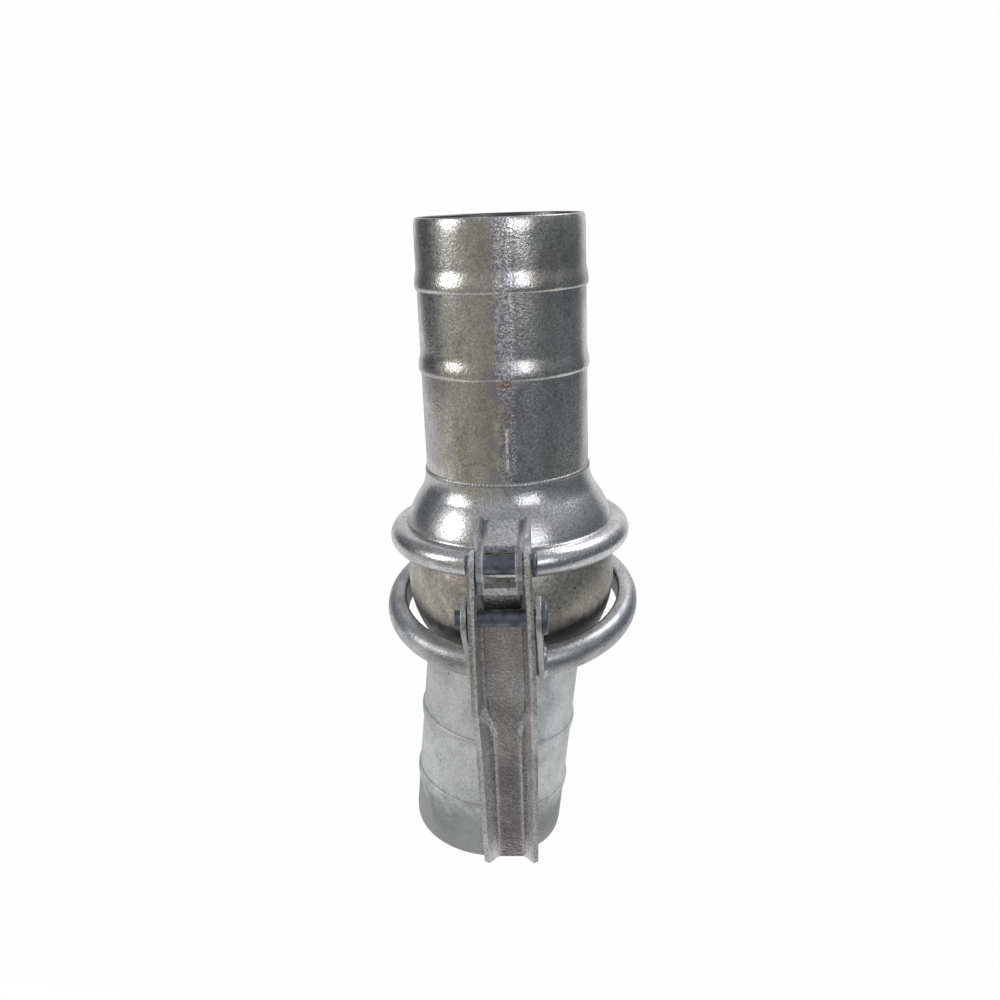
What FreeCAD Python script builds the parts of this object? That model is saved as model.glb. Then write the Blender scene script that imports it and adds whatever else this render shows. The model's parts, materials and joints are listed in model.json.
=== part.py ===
import FreeCAD, Part
import math
import os

from FreeCAD import Placement, Rotation, Vector

# Ball-and-socket hose coupling closed by a lever ring.
# Millimetres, +Z up.  The origin is the centre of the lower tail's end face, on the floor.
# The lower half stands upright.  The upper half is built coaxial with the ball centre at its
# origin (the "socket frame"), the closure ring in that same frame with its plane parallel to
# the rim (the "ring frame"), and placements then lean and droop them into the resting pose.

# ---- hose tails -------------------------------------------------------------------------
TAIL_RADIUS = 54.0            # outside radius of the plain tube
TAIL_BORE_RADIUS = 50.8       # waterway
TAIL_END_RADIUS = 53.2        # slightly drawn-in mouth, so the hose starts easily
MOUTH_LENGTH = 9.0            # mouth to where the tube has its plain radius
MOUTH_CHAMFER = 0.6
BARB_FROM_END = 44.0          # end face to the first barb's step
BARB_PITCH = 52.0             # first step to second step
BARB_SWELL = ((13.5, 0.0), (9.0, 0.6), (4.5, 1.35), (1.6, 1.5))    # corners: before the step, rise
LOWER_LENGTH = 203.0          # lower end face to ball centre
UPPER_LENGTH = 237.0          # upper end face to ball centre

# ---- ball and socket --------------------------------------------------------------------
BALL_RADIUS = 70.4
BALL_WALL = 3.0
BALL_LIP_HEIGHT = 46.0        # ball centre to the ball's open edge
BALL_GAP = 0.6                # running gap between ball and rim
BELL_RADIUS = BALL_RADIUS + 2.2
BELL_WALL = 3.0
BELL_RISE = 19.0              # bell's centre above the ball's
RIM_RADIUS = BALL_RADIUS + 1.8          # centre circle of the rolled rim
RIM_ROLL_RADIUS = 8.8         # outside radius of the roll
RIM_HEIGHT = 31.2             # rim's centre plane above the ball centre
GROOVE_RADIUS = RIM_RADIUS + 4.8        # floor of the seal's groove
GROOVE_HALF_HEIGHT = 5.0
SEAL_GAP = 0.3
NECK_LENGTH = 7.5             # collar of the ball and of the bell along the tail
NECK_WALL = 0.9               # collar's thickness at its end
NECK_FLARE = 3.6              # how far out the collar's fillet meets the sphere
COLLAR_HOLLOW = 0.3           # how much of the collar's fillet stands proud of its end
WELD_SIZE = 1.8               # height of the weld bead that closes each collar
PLATE_WELD = 2.2              # legs of the beads that hold the ears and claws on the ring
PLATE_WELD_TOE = 0.4          # thickness of those beads at their outer edge

# ---- closure ring -----------------------------------------------------------------------
RING_INNER_RADIUS = BALL_RADIUS + 3.2
RING_DEPTH = 13.3             # radial
RING_HEIGHT = 19.5            # axial
RING_WALL = 3.0
RING_FLAT = 5.0               # straight part of each side before the outer bulge
RING_EDGE = 1.6               # bevel of the inner corners
RING_PLANE = -10.5            # ring's mid plane below the ball centre when parallel to the rim
RING_FORWARD = 6.0            # ring's centre towards the lever from the coupling's axis
RING_DROOP_DEG = 11.0         # how far the front of the ring hangs below that at rest
CLOSED_DROOP_DEG = 6.0        # what is left of that when the feet bear on the ball
EAR_THICKNESS = 3.2
EAR_BOSS_RADIUS = 12.5
EAR_BOSS_FROM_DEG = -35.0     # boss's round part, from the outboard direction upwards
EAR_BOSS_TO_DEG = 145.0
EAR_TUCK = 3.0                # lower corners this far inboard of the ring's skins
EAR_SKIRT = 2.0               # ear's lower edge below the ring
EAR_BELLY = (12.0, 8.0)       # swell of the outboard edge: beyond the ring, above its mid plane
EAR_SHOULDER = (2.0, 2.0)     # inboard edge passes this far outside the ring's inner top corner
EAR_BACK = (1.0, 34.6)        # swell of the inboard edge: beyond the ring, above its mid plane
EAR_FOOT = (1.7, 4.4)         # root and tip of the ear's foot, inboard of the ball's widest part
CLAW_FOOT = (0.0, 6.0)        # the same for each claw
FOOT_TOE = 4.5                # height of each foot's blunt tip
FOOT_GAP = 0.8                # feet to ball when closed
CLAW_THICKNESS = 6.0
CLAW_ANGLE_DEG = 40.0         # each claw from the rearmost point of the ring
CLAW_LET_IN = 4.0             # depth of the slot in the ring's bore that each claw stands in
CLAW_THROAT_GAP = 1.0
CLAW_BACK = 8.0               # thickness of the claw outside its throat
CLAW_SEAT = (2.0, 3.0)        # outer lower corner: inboard of the ring's skin, below its top
CLAW_BACK_DEG = (-30.0, 10.0, 55.0)     # claw's back round the rim: corner, start and end of its arc
CLAW_THROAT_DEG = (86.0, -72.0)         # throat round the rim, from its mouth to its root
CLAW_TIP_DEG = 82.0
CLAW_TIP_RADIUS = 3.0

# ---- lever, hook and their pins ---------------------------------------------------------
PIN_REACH = RIM_RADIUS + 50.4           # lever pin from the coupling's axis, in the ring frame
PIN_HEIGHT = 63.0             # lever pin above the ring's mid plane
LEVER_PIN_RADIUS = 5.0
LEVER_PIN_HEAD_RADIUS = 9.8
LEVER_PIN_HEAD = 3.6
LEVER_PIN_STUB = 4.3          # plain end standing out of the left ear
HOOK_PIN_RADIUS = 5.75
HOOK_PIN_HEAD_RADIUS = 7.0
HOOK_PIN_HEAD = 3.0
HOOK_PIN_RIVET = 1.2
HOOK_PIN_SEAT = 0.4           # rivet's heads stand this far off the tip's half width
PIN_HEAD_CHAMFER = 1.0
PIN_SPACING = 33.7            # lever pin to hook pin
RUNNING_GAP = 0.06            # radial, pin in a turning hole
SIDE_PLAY = 0.8               # lever to each ear, and hook to each lever cheek
LEVER_WALL = 3.2
LEVER_BEND = 2.4              # bevel that stands for the bend between floor and cheek
LEVER_TIP_RADIUS = 8.4        # rounded cheeks round the hook pin
LEVER_TAIL = 168.0            # lever pin to the end of the handle
LEVER_BACK = 11.0             # web's back behind the pin line
LEVER_FRONT = 11.0            # flange edges in front of the pin line, at the pin
LEVER_WEB_TOP = 14.0          # web starts this far above the lever pin
LEVER_SHOULDER = (2.0, 6.0)   # cut-back of the cheeks' front corner: depth, height
LEVER_DRAFT = 2.0             # cheeks lean in by this from their edges to the floor
LEVER_HALF_WIDTH_TIP = 17.8
LEVER_HALF_WIDTH_PIN = 18.8
LEVER_HALF_WIDTH_WAIST = 19.2
LEVER_HALF_WIDTH_TROUGH = 18.4
LEVER_HALF_WIDTH_END = 16.8
WAIST_START = 55.0            # below the lever pin: channel begins to narrow
WAIST_END = 92.0              # below the lever pin: narrow trough is complete
WAIST_RUNS = 4                # straight runs that stand for the curve between the two
TROUGH_FLOOR = 6.4            # half width inside the trough, at its floor
TROUGH_FLOOR_END = 5.4
TROUGH_LIP = 1.2              # turned-out lips beside the trough, beyond the wall itself
TROUGH_BACK = 9.0
TROUGH_FRONT = 5.0
LEVER_LIP = 0.5               # slight outward roll of the cheeks' edges
HOOK_HALF_WIDTH = 13.0        # at the pin, inside the lever's cheeks
HOOK_NOSE_HALF_WIDTH = 16.4   # over the rim
HOOK_FLARE_START = 13.0       # inboard of the hook pin
HOOK_FLARE_END = 26.0
HOOK_WALL = 4.0
HOOK_RECESS = 3.0             # top web below the cheeks' edges
HOOK_BEVEL = 1.6              # outer edges of the cheeks
HOOK_BOSS_RADIUS = 9.4
HOOK_BOSS_TO_DEG = 60.0       # boss's round part, from the outboard direction upwards
HOOK_ARM_TOP = 10.2           # arm's top above the hook pin
HOOK_SEAT_GAP = 0.5           # nose to rim, when the hook lies on it
HOOK_SEAT_DEG = (97.0, 48.0)  # nose's seat round the rim, from its inner end outwards
HOOK_SEAT_TAPER = 4.0         # degrees by which the hollow's seat shortens for each mm of inset
HOOK_HEEL = (16.0, -3.0)      # arm's underside: outboard of the rim's centre, above the pin
HOOK_CHIN = (2.0, -4.0)       # arm's outboard corner: inboard of the boss, above the pin
HOOK_NOSE_RADIUS = 7.0
HOOK_NOSE_REACH = 5.5         # nose's inner end beyond the middle of the roll
HOOK_STRAP_DROP = 16.5        # strap's underside below the hook pin
HOOK_STRAP_DEPTH = 9.0        # strap's width, front to back
HOOK_WINDOW_BACK = 10.0       # top web's front edge, inboard of the hook pin
CLEAR = 1.0                   # how far a cutting block runs past what it cuts
TINY = 1e-6

# ---- resting pose -----------------------------------------------------------------------
LEAN_DEG = 7.6                # upper half out of line with the lower
LEAN_HEADING_DEG = 154.0      # direction the top leans, from +X towards +Y

# ---- derived ----------------------------------------------------------------------------
RING_OUTER_RADIUS = RING_INNER_RADIUS + RING_DEPTH
RING_TOP = RING_PLANE + RING_HEIGHT / 2
RING_BOTTOM = RING_PLANE - RING_HEIGHT / 2
EAR_INNER = LEVER_HALF_WIDTH_PIN + SIDE_PLAY
EAR_OUTER = EAR_INNER + EAR_THICKNESS
PIN_Z = RING_PLANE + PIN_HEIGHT
CLAW_AXIS_Y = RIM_RADIUS * math.cos(math.radians(CLAW_ANGLE_DEG))
CLAW_SHIFT = RING_FORWARD * math.cos(math.radians(CLAW_ANGLE_DEG))
RUNS_PER_TURN = 16            # straight runs that stand for a full circle on a turned part

LEAN_HEADING = math.radians(LEAN_HEADING_DEG)
LEAN_AXIS = Vector(-math.sin(LEAN_HEADING), math.cos(LEAN_HEADING), 0)
BALL_CENTRE = Vector(0, 0, LOWER_LENGTH)
LEVER_HANG_DEG = RING_DROOP_DEG - LEAN_DEG * math.sin(LEAN_HEADING)

AT_BALL = Placement(BALL_CENTRE, Rotation())
SOCKET_FRAME = Placement(BALL_CENTRE, Rotation(LEAN_AXIS, LEAN_DEG))
CLAW_AXIS = Vector(0, CLAW_AXIS_Y, RIM_HEIGHT)
DROOP = Placement(Vector(), Rotation(Vector(1, 0, 0), RING_DROOP_DEG), CLAW_AXIS)
RING_FRAME = SOCKET_FRAME.multiply(DROOP)
CLOSED = Placement(Vector(), Rotation(Vector(1, 0, 0), CLOSED_DROOP_DEG), CLAW_AXIS)
BALL_IN_RING = CLOSED.inverse().multVec(Vector())     # where the ball is when the ring is closed
LEVER_FRAME = RING_FRAME.multiply(
    Placement(Vector(0, -PIN_REACH, PIN_Z), Rotation(Vector(1, 0, 0), -LEVER_HANG_DEG)))
HOOK_PIN_IN_SOCKET = SOCKET_FRAME.inverse().multVec(LEVER_FRAME.multVec(Vector(0, 0, PIN_SPACING)))
HOOK_FRAME = SOCKET_FRAME.multiply(Placement(HOOK_PIN_IN_SOCKET, Rotation()))


# ---- helpers ----------------------------------------------------------------------------
def outline(*steps):
    """Closed wire from points (x, z) and arcs ((through), (end)), in the XZ plane."""
    edges = []
    start = here = Vector(steps[0][0], 0, steps[0][1])
    for step in steps[1:] + (steps[0],):
        if isinstance(step[0], tuple):
            through, end = (Vector(x, 0, z) for x, z in step)
            edges.append(Part.Arc(here, through, end).toShape())
        else:
            end = Vector(step[0], 0, step[1])
            if end.distanceToPoint(here) > TINY:
                edges.append(Part.makeLine(here, end))
        here = end
    if here.distanceToPoint(start) > TINY:
        edges.append(Part.makeLine(here, start))
    return Part.Wire(edges)


def section(*steps):
    """Flat face in the XZ plane, one half of a turned part's cross-section."""
    return Part.Face(outline(*steps))


def turn(face):
    """Body of revolution about Z."""
    return face.revolve(Vector(), Vector(0, 0, 1), 360)


def arc_runs(start, through, end, count):
    """Points (x, z) of an arc that is drawn as short straight runs, which keeps turned parts light."""
    arc = Part.Arc(*(Vector(x, 0, z) for x, z in (start, through, end)))
    return [(point.x, point.z) for point in arc.discretize(count + 1)]


def plate(wire, thickness):
    """Plate with its outline in XZ, its thickness centred on Y = 0."""
    face = Part.Face(wire)
    face.translate(Vector(0, -thickness / 2, 0))
    return face.extrude(Vector(0, thickness, 0))


def stood_across(shape, x):
    """Turn a plate whose outline runs outboard along +X so that it runs along -Y, at X = x."""
    shape.rotate(Vector(), Vector(0, 0, 1), -90)
    shape.translate(Vector(x, 0, 0))
    return shape


def cross_pin(radius, x_from, x_to, y=0, z=0):
    return Part.makeCylinder(radius, x_to - x_from, Vector(x_from, y, z), Vector(1, 0, 0))


def headed_pin(radius, x_from, x_to, head_radius, head, y=0, z=0):
    """Pin across the coupling, with a bevelled round head that starts at x_to."""
    disc = cross_pin(head_radius, x_to, x_to + head, y, z)
    rim = [edge for edge in disc.Edges if edge.BoundBox.XMin > x_to + head - TINY]
    disc = disc.makeChamfer(PIN_HEAD_CHAMFER, rim[:1])
    return cross_pin(radius, x_from, x_to, y, z).fuse(disc).removeSplitter()


def circle_point(centre, radius, degrees):
    """Point of a circle in the XZ plane, the angle measured from +X towards +Z."""
    angle = math.radians(degrees)
    return (centre[0] + radius * math.cos(angle), centre[1] + radius * math.sin(angle))


def sphere_height(radius, at):
    return math.sqrt(radius ** 2 - at ** 2)


def on_sphere(radius, height):
    """Point (radius, z) of a sphere about the origin, at the given height."""
    return (sphere_height(radius, height), height)


# ---- hose tails -------------------------------------------------------------------------
def tail_points():
    """Corners (radius, z) of the outside line from the mouth (z = 0) to behind the second barb."""
    steps = [(TAIL_END_RADIUS - MOUTH_CHAMFER, 0), (TAIL_END_RADIUS, MOUTH_CHAMFER),
             (TAIL_RADIUS, MOUTH_LENGTH)]
    for index in range(2):
        step_at = BARB_FROM_END + index * BARB_PITCH
        for before, rise in BARB_SWELL:
            steps.append((TAIL_RADIUS + rise, step_at - before))
        steps.append((TAIL_RADIUS, step_at))
    return steps


def hose_tail(length):
    """Barbed tube with its mouth at z = 0, running up to the given length."""
    return turn(section((TAIL_BORE_RADIUS, 0), *tail_points(),
                        (TAIL_RADIUS, length), (TAIL_BORE_RADIUS, length)))


def lower_hose_tail():
    return hose_tail(LOWER_LENGTH - sphere_height(BALL_RADIUS - BALL_WALL, TAIL_RADIUS))


def upper_hose_tail():
    tail = hose_tail(UPPER_LENGTH - BELL_RISE - sphere_height(BELL_RADIUS - BELL_WALL, TAIL_RADIUS))
    tail.rotate(Vector(), Vector(1, 0, 0), 180)
    tail.translate(Vector(0, 0, UPPER_LENGTH))
    return tail


def neck_weld(sphere_radius, rise, side):
    """Weld bead at the end of a collar, above (side 1) or below (side -1) the ball centre."""
    end = side * (rise + sphere_height(sphere_radius, TAIL_RADIUS) + NECK_LENGTH)
    leg = NECK_WALL + COLLAR_HOLLOW
    return turn(section((TAIL_RADIUS, end), (TAIL_RADIUS + leg, end), (TAIL_RADIUS, end + side * WELD_SIZE)))


# ---- ball and socket --------------------------------------------------------------------
def necked_shell(radius, wall, edge):
    """Half section of a shell about the origin, from its open edge up to its collar round the tail."""
    inside = radius - wall
    junction = sphere_height(radius, TAIL_RADIUS)
    collar_end = junction + NECK_LENGTH
    foot = (TAIL_RADIUS + NECK_FLARE, sphere_height(radius, TAIL_RADIUS + NECK_FLARE))
    waist = (TAIL_RADIUS + NECK_WALL + COLLAR_HOLLOW, junction + NECK_LENGTH / 4)
    flare = arc_runs(foot, waist, (TAIL_RADIUS + NECK_WALL, collar_end), RUNS_PER_TURN // 4)
    tail_end = (TAIL_RADIUS, sphere_height(inside, TAIL_RADIUS))
    middle = (edge + foot[1]) / 2
    return section(on_sphere(radius, edge), (on_sphere(radius, middle), foot), *flare[1:],
                   (TAIL_RADIUS, collar_end), tail_end,
                   (on_sphere(inside, middle), on_sphere(inside, edge)))


def ball_head():
    """Pressed spherical zone with a collar over the lower tail, open at the top."""
    ball = turn(necked_shell(BALL_RADIUS, BALL_WALL, -BALL_LIP_HEIGHT))
    ball.rotate(Vector(), Vector(1, 0, 0), 180)
    return ball


def seal_groove(gap):
    """Half section of the groove that holds the seal, drawn gap mm smaller all round."""
    half = GROOVE_HALF_HEIGHT - gap
    wall = GROOVE_RADIUS - gap
    return section((TAIL_RADIUS, RIM_HEIGHT - half), (wall, RIM_HEIGHT - half),
                   (wall, RIM_HEIGHT + half), (TAIL_RADIUS, RIM_HEIGHT + half))


def seat_section(reach):
    """Half disc about the ball centre."""
    return section((0, -reach), ((reach, 0), (0, reach)))


def socket_bell():
    """Spherical bell whose edge is rolled outwards into a rim, grooved inside for the seal."""
    bell = necked_shell(BELL_RADIUS, BELL_WALL, RIM_HEIGHT - BELL_RISE)
    bell.translate(Vector(0, 0, BELL_RISE))
    roll = []
    for index in range(RUNS_PER_TURN):
        degrees = (index + 0.5) * 360 / RUNS_PER_TURN
        roll.append(circle_point((RIM_RADIUS, RIM_HEIGHT), RIM_ROLL_RADIUS, degrees))
    bell = bell.fuse(section(*roll)).cut(seal_groove(0)).cut(seat_section(BALL_RADIUS + BALL_GAP))
    return turn(bell.removeSplitter().Faces[0])


def socket_seal():
    return turn(seal_groove(SEAL_GAP).cut(seat_section(BALL_RADIUS + SEAL_GAP)).Faces[0])


# ---- closure ring -----------------------------------------------------------------------
def ring_points(inset, runs=RUNS_PER_TURN // 2):
    """Section of the ring, flat towards the axis and round outside; inset is measured from its skin."""
    half = RING_HEIGHT / 2 - inset
    inner = RING_INNER_RADIUS + inset
    flat_end = RING_INNER_RADIUS + RING_FLAT
    bulge = arc_runs((flat_end, -half), (RING_OUTER_RADIUS - inset, 0), (flat_end, half), runs)
    points = [(inner, RING_EDGE - half), (inner + RING_EDGE, -half), *bulge,
              (inner + RING_EDGE, half), (inner, half - RING_EDGE)]
    return [(radius, RING_PLANE + z) for radius, z in points]


def ring_bar(face):
    """Turn a section of the ring about the ring's own centre."""
    ring = turn(face)
    ring.translate(Vector(0, -RING_FORWARD, 0))
    return ring


def full_ring():
    """The ring with its hollow filled, for cutting what lies on its skin."""
    return ring_bar(section(*ring_points(0)))


def closure_ring():
    """Bent tube, flat inside and round outside; its ends butt on the ears, the claws stand in its bore."""
    hollow = section(*ring_points(RING_WALL, RUNS_PER_TURN // 4))
    ring = ring_bar(section(*ring_points(0)).cut(hollow))
    gap = Part.makeBox(2 * EAR_OUTER, 2 * RING_OUTER_RADIUS, RING_HEIGHT,
                       Vector(-EAR_OUTER, -2 * RING_OUTER_RADIUS, RING_BOTTOM))
    return ring.cut(gap).cut(rear_claw(1)).cut(rear_claw(-1))


def foot_points(centre, reach, foot):
    """Inner edge of an ear or claw, along the ball's underside: root, middle, tip, heel.

    centre is the ball's centre (outboard, z) with the ring closed, reach its radius in the
    plate's plane.
    """
    root_depth, tip_depth = foot
    points = []
    for inboard in (root_depth, (root_depth + tip_depth) / 2, tip_depth):
        outboard = reach - inboard
        points.append((centre[0] + outboard, centre[1] - sphere_height(reach, outboard)))
    tip = points[-1]
    return points + [(tip[0], tip[1] - FOOT_TOE)]


def ear(side):
    """Plate from the ring's end up and out to the lever pin, with a foot under the ball."""
    x = side * (EAR_INNER + EAR_THICKNESS / 2)
    reach = sphere_height(BALL_RADIUS + FOOT_GAP, EAR_INNER)
    root, middle, tip, heel = foot_points((-BALL_IN_RING.y, BALL_IN_RING.z), reach, EAR_FOOT)
    ring_inner = RING_FORWARD + sphere_height(RING_INNER_RADIUS, EAR_OUTER)
    ring_outer = RING_FORWARD + sphere_height(RING_OUTER_RADIUS, EAR_OUTER)
    skirt = RING_BOTTOM - EAR_SKIRT
    boss = (PIN_REACH, PIN_Z)
    boss_top_deg = (EAR_BOSS_FROM_DEG + EAR_BOSS_TO_DEG) / 2
    wire = outline(
        tip, heel, (ring_inner - EAR_TUCK, skirt), (ring_outer - EAR_TUCK, skirt),
        ((ring_outer + EAR_BELLY[0], RING_PLANE + EAR_BELLY[1]),
         circle_point(boss, EAR_BOSS_RADIUS, EAR_BOSS_FROM_DEG)),
        (circle_point(boss, EAR_BOSS_RADIUS, boss_top_deg),
         circle_point(boss, EAR_BOSS_RADIUS, EAR_BOSS_TO_DEG)),
        ((ring_outer + EAR_BACK[0], RING_PLANE + EAR_BACK[1]),
         (ring_inner + EAR_SHOULDER[0], RING_TOP + EAR_SHOULDER[1])),
        root, (middle, tip))
    body = stood_across(plate(wire, EAR_THICKNESS), x)
    return body.cut(cross_pin(LEVER_PIN_RADIUS, x - EAR_THICKNESS, x + EAR_THICKNESS, -PIN_REACH, PIN_Z))


def rear_claw(side):
    """Profile-cut plate: hooks over the rim above, stands in the ring, bears under the ball below."""
    centre = (BALL_IN_RING.y * math.cos(math.radians(CLAW_ANGLE_DEG)), BALL_IN_RING.z)
    root, middle, tip, heel = foot_points(centre, BALL_RADIUS + FOOT_GAP, CLAW_FOOT)
    neck = RING_INNER_RADIUS - CLAW_SHIFT + CLAW_LET_IN + CLEAR
    rim = (RIM_RADIUS, RIM_HEIGHT)
    throat = RIM_ROLL_RADIUS + CLAW_THROAT_GAP
    back = throat + CLAW_BACK
    corner_deg, back_deg, crown_deg = CLAW_BACK_DEG
    mouth_deg, root_deg = CLAW_THROAT_DEG
    seat_z = RING_TOP - CLAW_SEAT[1]
    wire = outline(
        tip, heel, (neck, heel[1]), (neck, seat_z),
        (RING_OUTER_RADIUS - CLAW_SHIFT - CLAW_SEAT[0], seat_z), circle_point(rim, back, corner_deg),
        (circle_point(rim, back, back_deg), circle_point(rim, back, crown_deg)),
        circle_point(rim, back - CLAW_TIP_RADIUS, CLAW_TIP_DEG), circle_point(rim, throat, mouth_deg),
        (circle_point(rim, throat, (mouth_deg + root_deg) / 2), circle_point(rim, throat, root_deg)),
        root, (middle, tip))
    claw = plate(wire, CLAW_THICKNESS)
    claw.rotate(Vector(), Vector(0, 0, 1), 90 + side * CLAW_ANGLE_DEG)
    bore = Part.makeCylinder(RING_INNER_RADIUS + CLAW_LET_IN, 2 * RING_HEIGHT,
                             Vector(0, -RING_FORWARD, RING_PLANE - RING_HEIGHT))
    return claw.cut(full_ring().cut(bore))


def bead_along_ring(across, leg_towards, shift):
    """Fillet bead on the ring's outer skin, in the XZ plane at Y = across.

    The bead's leg along the plate's face is PLATE_WELD; its other leg runs the same length
    from across towards leg_towards (1 or -1).  shift moves the ring's section inboard.
    """
    wires = []
    for offset, y in ((PLATE_WELD, across), (PLATE_WELD_TOE, across + leg_towards * PLATE_WELD)):
        wire = outline(*((radius - shift, z) for radius, z in ring_points(-offset, RUNS_PER_TURN // 4)))
        wire.translate(Vector(0, y, 0))
        wires.append(wire)
    return Part.makeLoft(wires, True, True)


def ear_weld(side):
    """Bead that closes the corner between a ring end and the ear's outer face."""
    setback = RING_INNER_RADIUS - sphere_height(RING_INNER_RADIUS, EAR_OUTER)
    bead = bead_along_ring(0, side, setback - RING_FORWARD)
    return stood_across(bead, side * EAR_OUTER).cut(full_ring())


def claw_weld(side):
    """Two beads, one on each side of a claw, where it stands on the ring."""
    beads = [bead_along_ring(face * CLAW_THICKNESS / 2, face, CLAW_SHIFT) for face in (-1, 1)]
    on_top = Part.makeBox(RING_OUTER_RADIUS, 2 * CLAW_THICKNESS, 2 * CLAW_SEAT[1],
                          Vector(RING_INNER_RADIUS - CLAW_SHIFT, -CLAW_THICKNESS, RING_TOP - CLAW_SEAT[1]))
    pair = Part.makeCompound(beads).common(on_top)
    pair.rotate(Vector(), Vector(0, 0, 1), 90 + side * CLAW_ANGLE_DEG)
    return pair.cut(full_ring())


def lever_pin():
    """Clevis pin fixed in the ears: round head on the right, plain end on the left."""
    return headed_pin(LEVER_PIN_RADIUS, -EAR_OUTER - LEVER_PIN_STUB, EAR_OUTER,
                      LEVER_PIN_HEAD_RADIUS, LEVER_PIN_HEAD, -PIN_REACH, PIN_Z)


# ---- lever ------------------------------------------------------------------------------
def channel_section(z, half_width, lip, floor, back, front):
    """Closed section of the pressed lever at height z: floor, bends, flanks and turned-out lips.

    The floor's inner half width is given; the web's back lies at -back, the lips at +front.
    """
    wall = LEVER_WALL
    bend = LEVER_BEND
    flank = half_width - lip
    right = [(floor - bend, wall - back), (floor, wall - back + bend), (flank - wall, front),
             (half_width, front), (half_width, front - wall), (flank, front - wall),
             (floor + wall, bend - back), (floor + wall - bend, -back)]
    left = [(-x, w) for x, w in right[::-1]]
    return Part.makePolygon([Vector(x, -w, z) for x, w in right + left + right[:1]])


def lever_stations():
    """Values for channel_section from the tip down to the handle's end."""
    cheek = LEVER_LIP + LEVER_WALL + LEVER_DRAFT
    stations = []
    for z, half in ((PIN_SPACING + LEVER_TIP_RADIUS, LEVER_HALF_WIDTH_TIP), (0, LEVER_HALF_WIDTH_PIN),
                    (-WAIST_START, LEVER_HALF_WIDTH_WAIST)):
        stations.append((z, half, LEVER_LIP, half - cheek, LEVER_BACK, LEVER_FRONT))
    wide = stations[-1][1:]
    narrow = (LEVER_HALF_WIDTH_TROUGH, TROUGH_LIP, TROUGH_FLOOR, TROUGH_BACK, TROUGH_FRONT)
    for run in range(1, WAIST_RUNS + 1):
        share = run / WAIST_RUNS
        eased = share * share * (3 - 2 * share)
        values = [start + (end - start) * eased for start, end in zip(wide, narrow)]
        stations.append((-WAIST_START - (WAIST_END - WAIST_START) * share, *values))
    stations.append((-LEVER_TAIL, LEVER_HALF_WIDTH_END, TROUGH_LIP, TROUGH_FLOOR_END,
                     TROUGH_BACK, TROUGH_FRONT))
    return stations


def lever_side_outline():
    """Side view of the lever: round tip at the hook pin, straight cheeks, plain end."""
    tip = (0, PIN_SPACING)
    back = LEVER_BACK + CLEAR
    front = LEVER_FRONT + CLEAR
    setback, drop = LEVER_SHOULDER
    return outline(
        circle_point(tip, LEVER_TIP_RADIUS, 0),
        (circle_point(tip, LEVER_TIP_RADIUS, 90), circle_point(tip, LEVER_TIP_RADIUS, 180)),
        (-back, LEVER_WEB_TOP), (-back, -LEVER_TAIL), (front, -LEVER_TAIL),
        (front, LEVER_WEB_TOP - drop), (front - setback, LEVER_WEB_TOP))


def lever_handle():
    """Pressed-steel lever: forked channel at the pins, narrowing to a lipped trough."""
    wires = [channel_section(*station) for station in lever_stations()]
    channel = Part.makeLoft(wires, True, True)
    silhouette = stood_across(plate(lever_side_outline(), 3 * LEVER_HALF_WIDTH_WAIST), 0)
    lever = channel.common(silhouette)
    fork_half = HOOK_HALF_WIDTH + SIDE_PLAY
    fork = Part.makeBox(2 * fork_half, 3 * LEVER_BACK, PIN_SPACING,
                        Vector(-fork_half, -LEVER_FRONT - CLEAR, LEVER_WEB_TOP))
    lever = lever.cut(fork)
    lever = lever.cut(cross_pin(LEVER_PIN_RADIUS + RUNNING_GAP, -EAR_INNER, EAR_INNER))
    return lever.cut(cross_pin(HOOK_PIN_RADIUS, -EAR_INNER, EAR_INNER, 0, PIN_SPACING))


def hook_pin():
    """Rivet through the lever's cheeks: round head on the right, closed over on the left."""
    face = LEVER_HALF_WIDTH_TIP + HOOK_PIN_SEAT
    return headed_pin(HOOK_PIN_RADIUS, -face - HOOK_PIN_RIVET, face, HOOK_PIN_HEAD_RADIUS, HOOK_PIN_HEAD,
                      0, PIN_SPACING)


# ---- hook -------------------------------------------------------------------------------
def hook_side(inset, recess, floor):
    """Side view, hook pin at the origin, +X outboard: boss, strap legs, arm, nose on the rim.

    inset moves the top and the nose's end inwards for the hollow of the channel, recess lowers
    its top further; floor is the height of the strap's underside, or lower for the hollow.
    """
    rim = (RIM_RADIUS + HOOK_PIN_IN_SOCKET.y, RIM_HEIGHT - HOOK_PIN_IN_SOCKET.z)
    seat = RIM_ROLL_RADIUS + HOOK_SEAT_GAP
    top = HOOK_ARM_TOP - inset - recess
    nose_radius = HOOK_NOSE_RADIUS - inset
    nose_end = rim[0] - HOOK_NOSE_REACH + inset
    corner = (nose_end + nose_radius, top - nose_radius)
    strap = HOOK_STRAP_DEPTH / 2
    inner_deg, outer_deg = HOOK_SEAT_DEG
    boss_top = circle_point((0, 0), HOOK_BOSS_RADIUS, HOOK_BOSS_TO_DEG)
    return outline(
        (strap, floor), (strap, -HOOK_BOSS_RADIUS),
        (circle_point((0, 0), HOOK_BOSS_RADIUS, 0), boss_top if boss_top[1] < top else (strap, top)),
        (0, top), (corner[0], top), (circle_point(corner, nose_radius, 135), (nose_end, corner[1])),
        circle_point(rim, seat, inner_deg - HOOK_SEAT_TAPER * inset),
        (circle_point(rim, seat, (inner_deg + outer_deg) / 2), circle_point(rim, seat, outer_deg)),
        (rim[0] + HOOK_HEEL[0], HOOK_HEEL[1]), (-HOOK_BOSS_RADIUS - HOOK_CHIN[0], HOOK_CHIN[1]),
        (-strap, -HOOK_BOSS_RADIUS), (-strap, floor))


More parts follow.
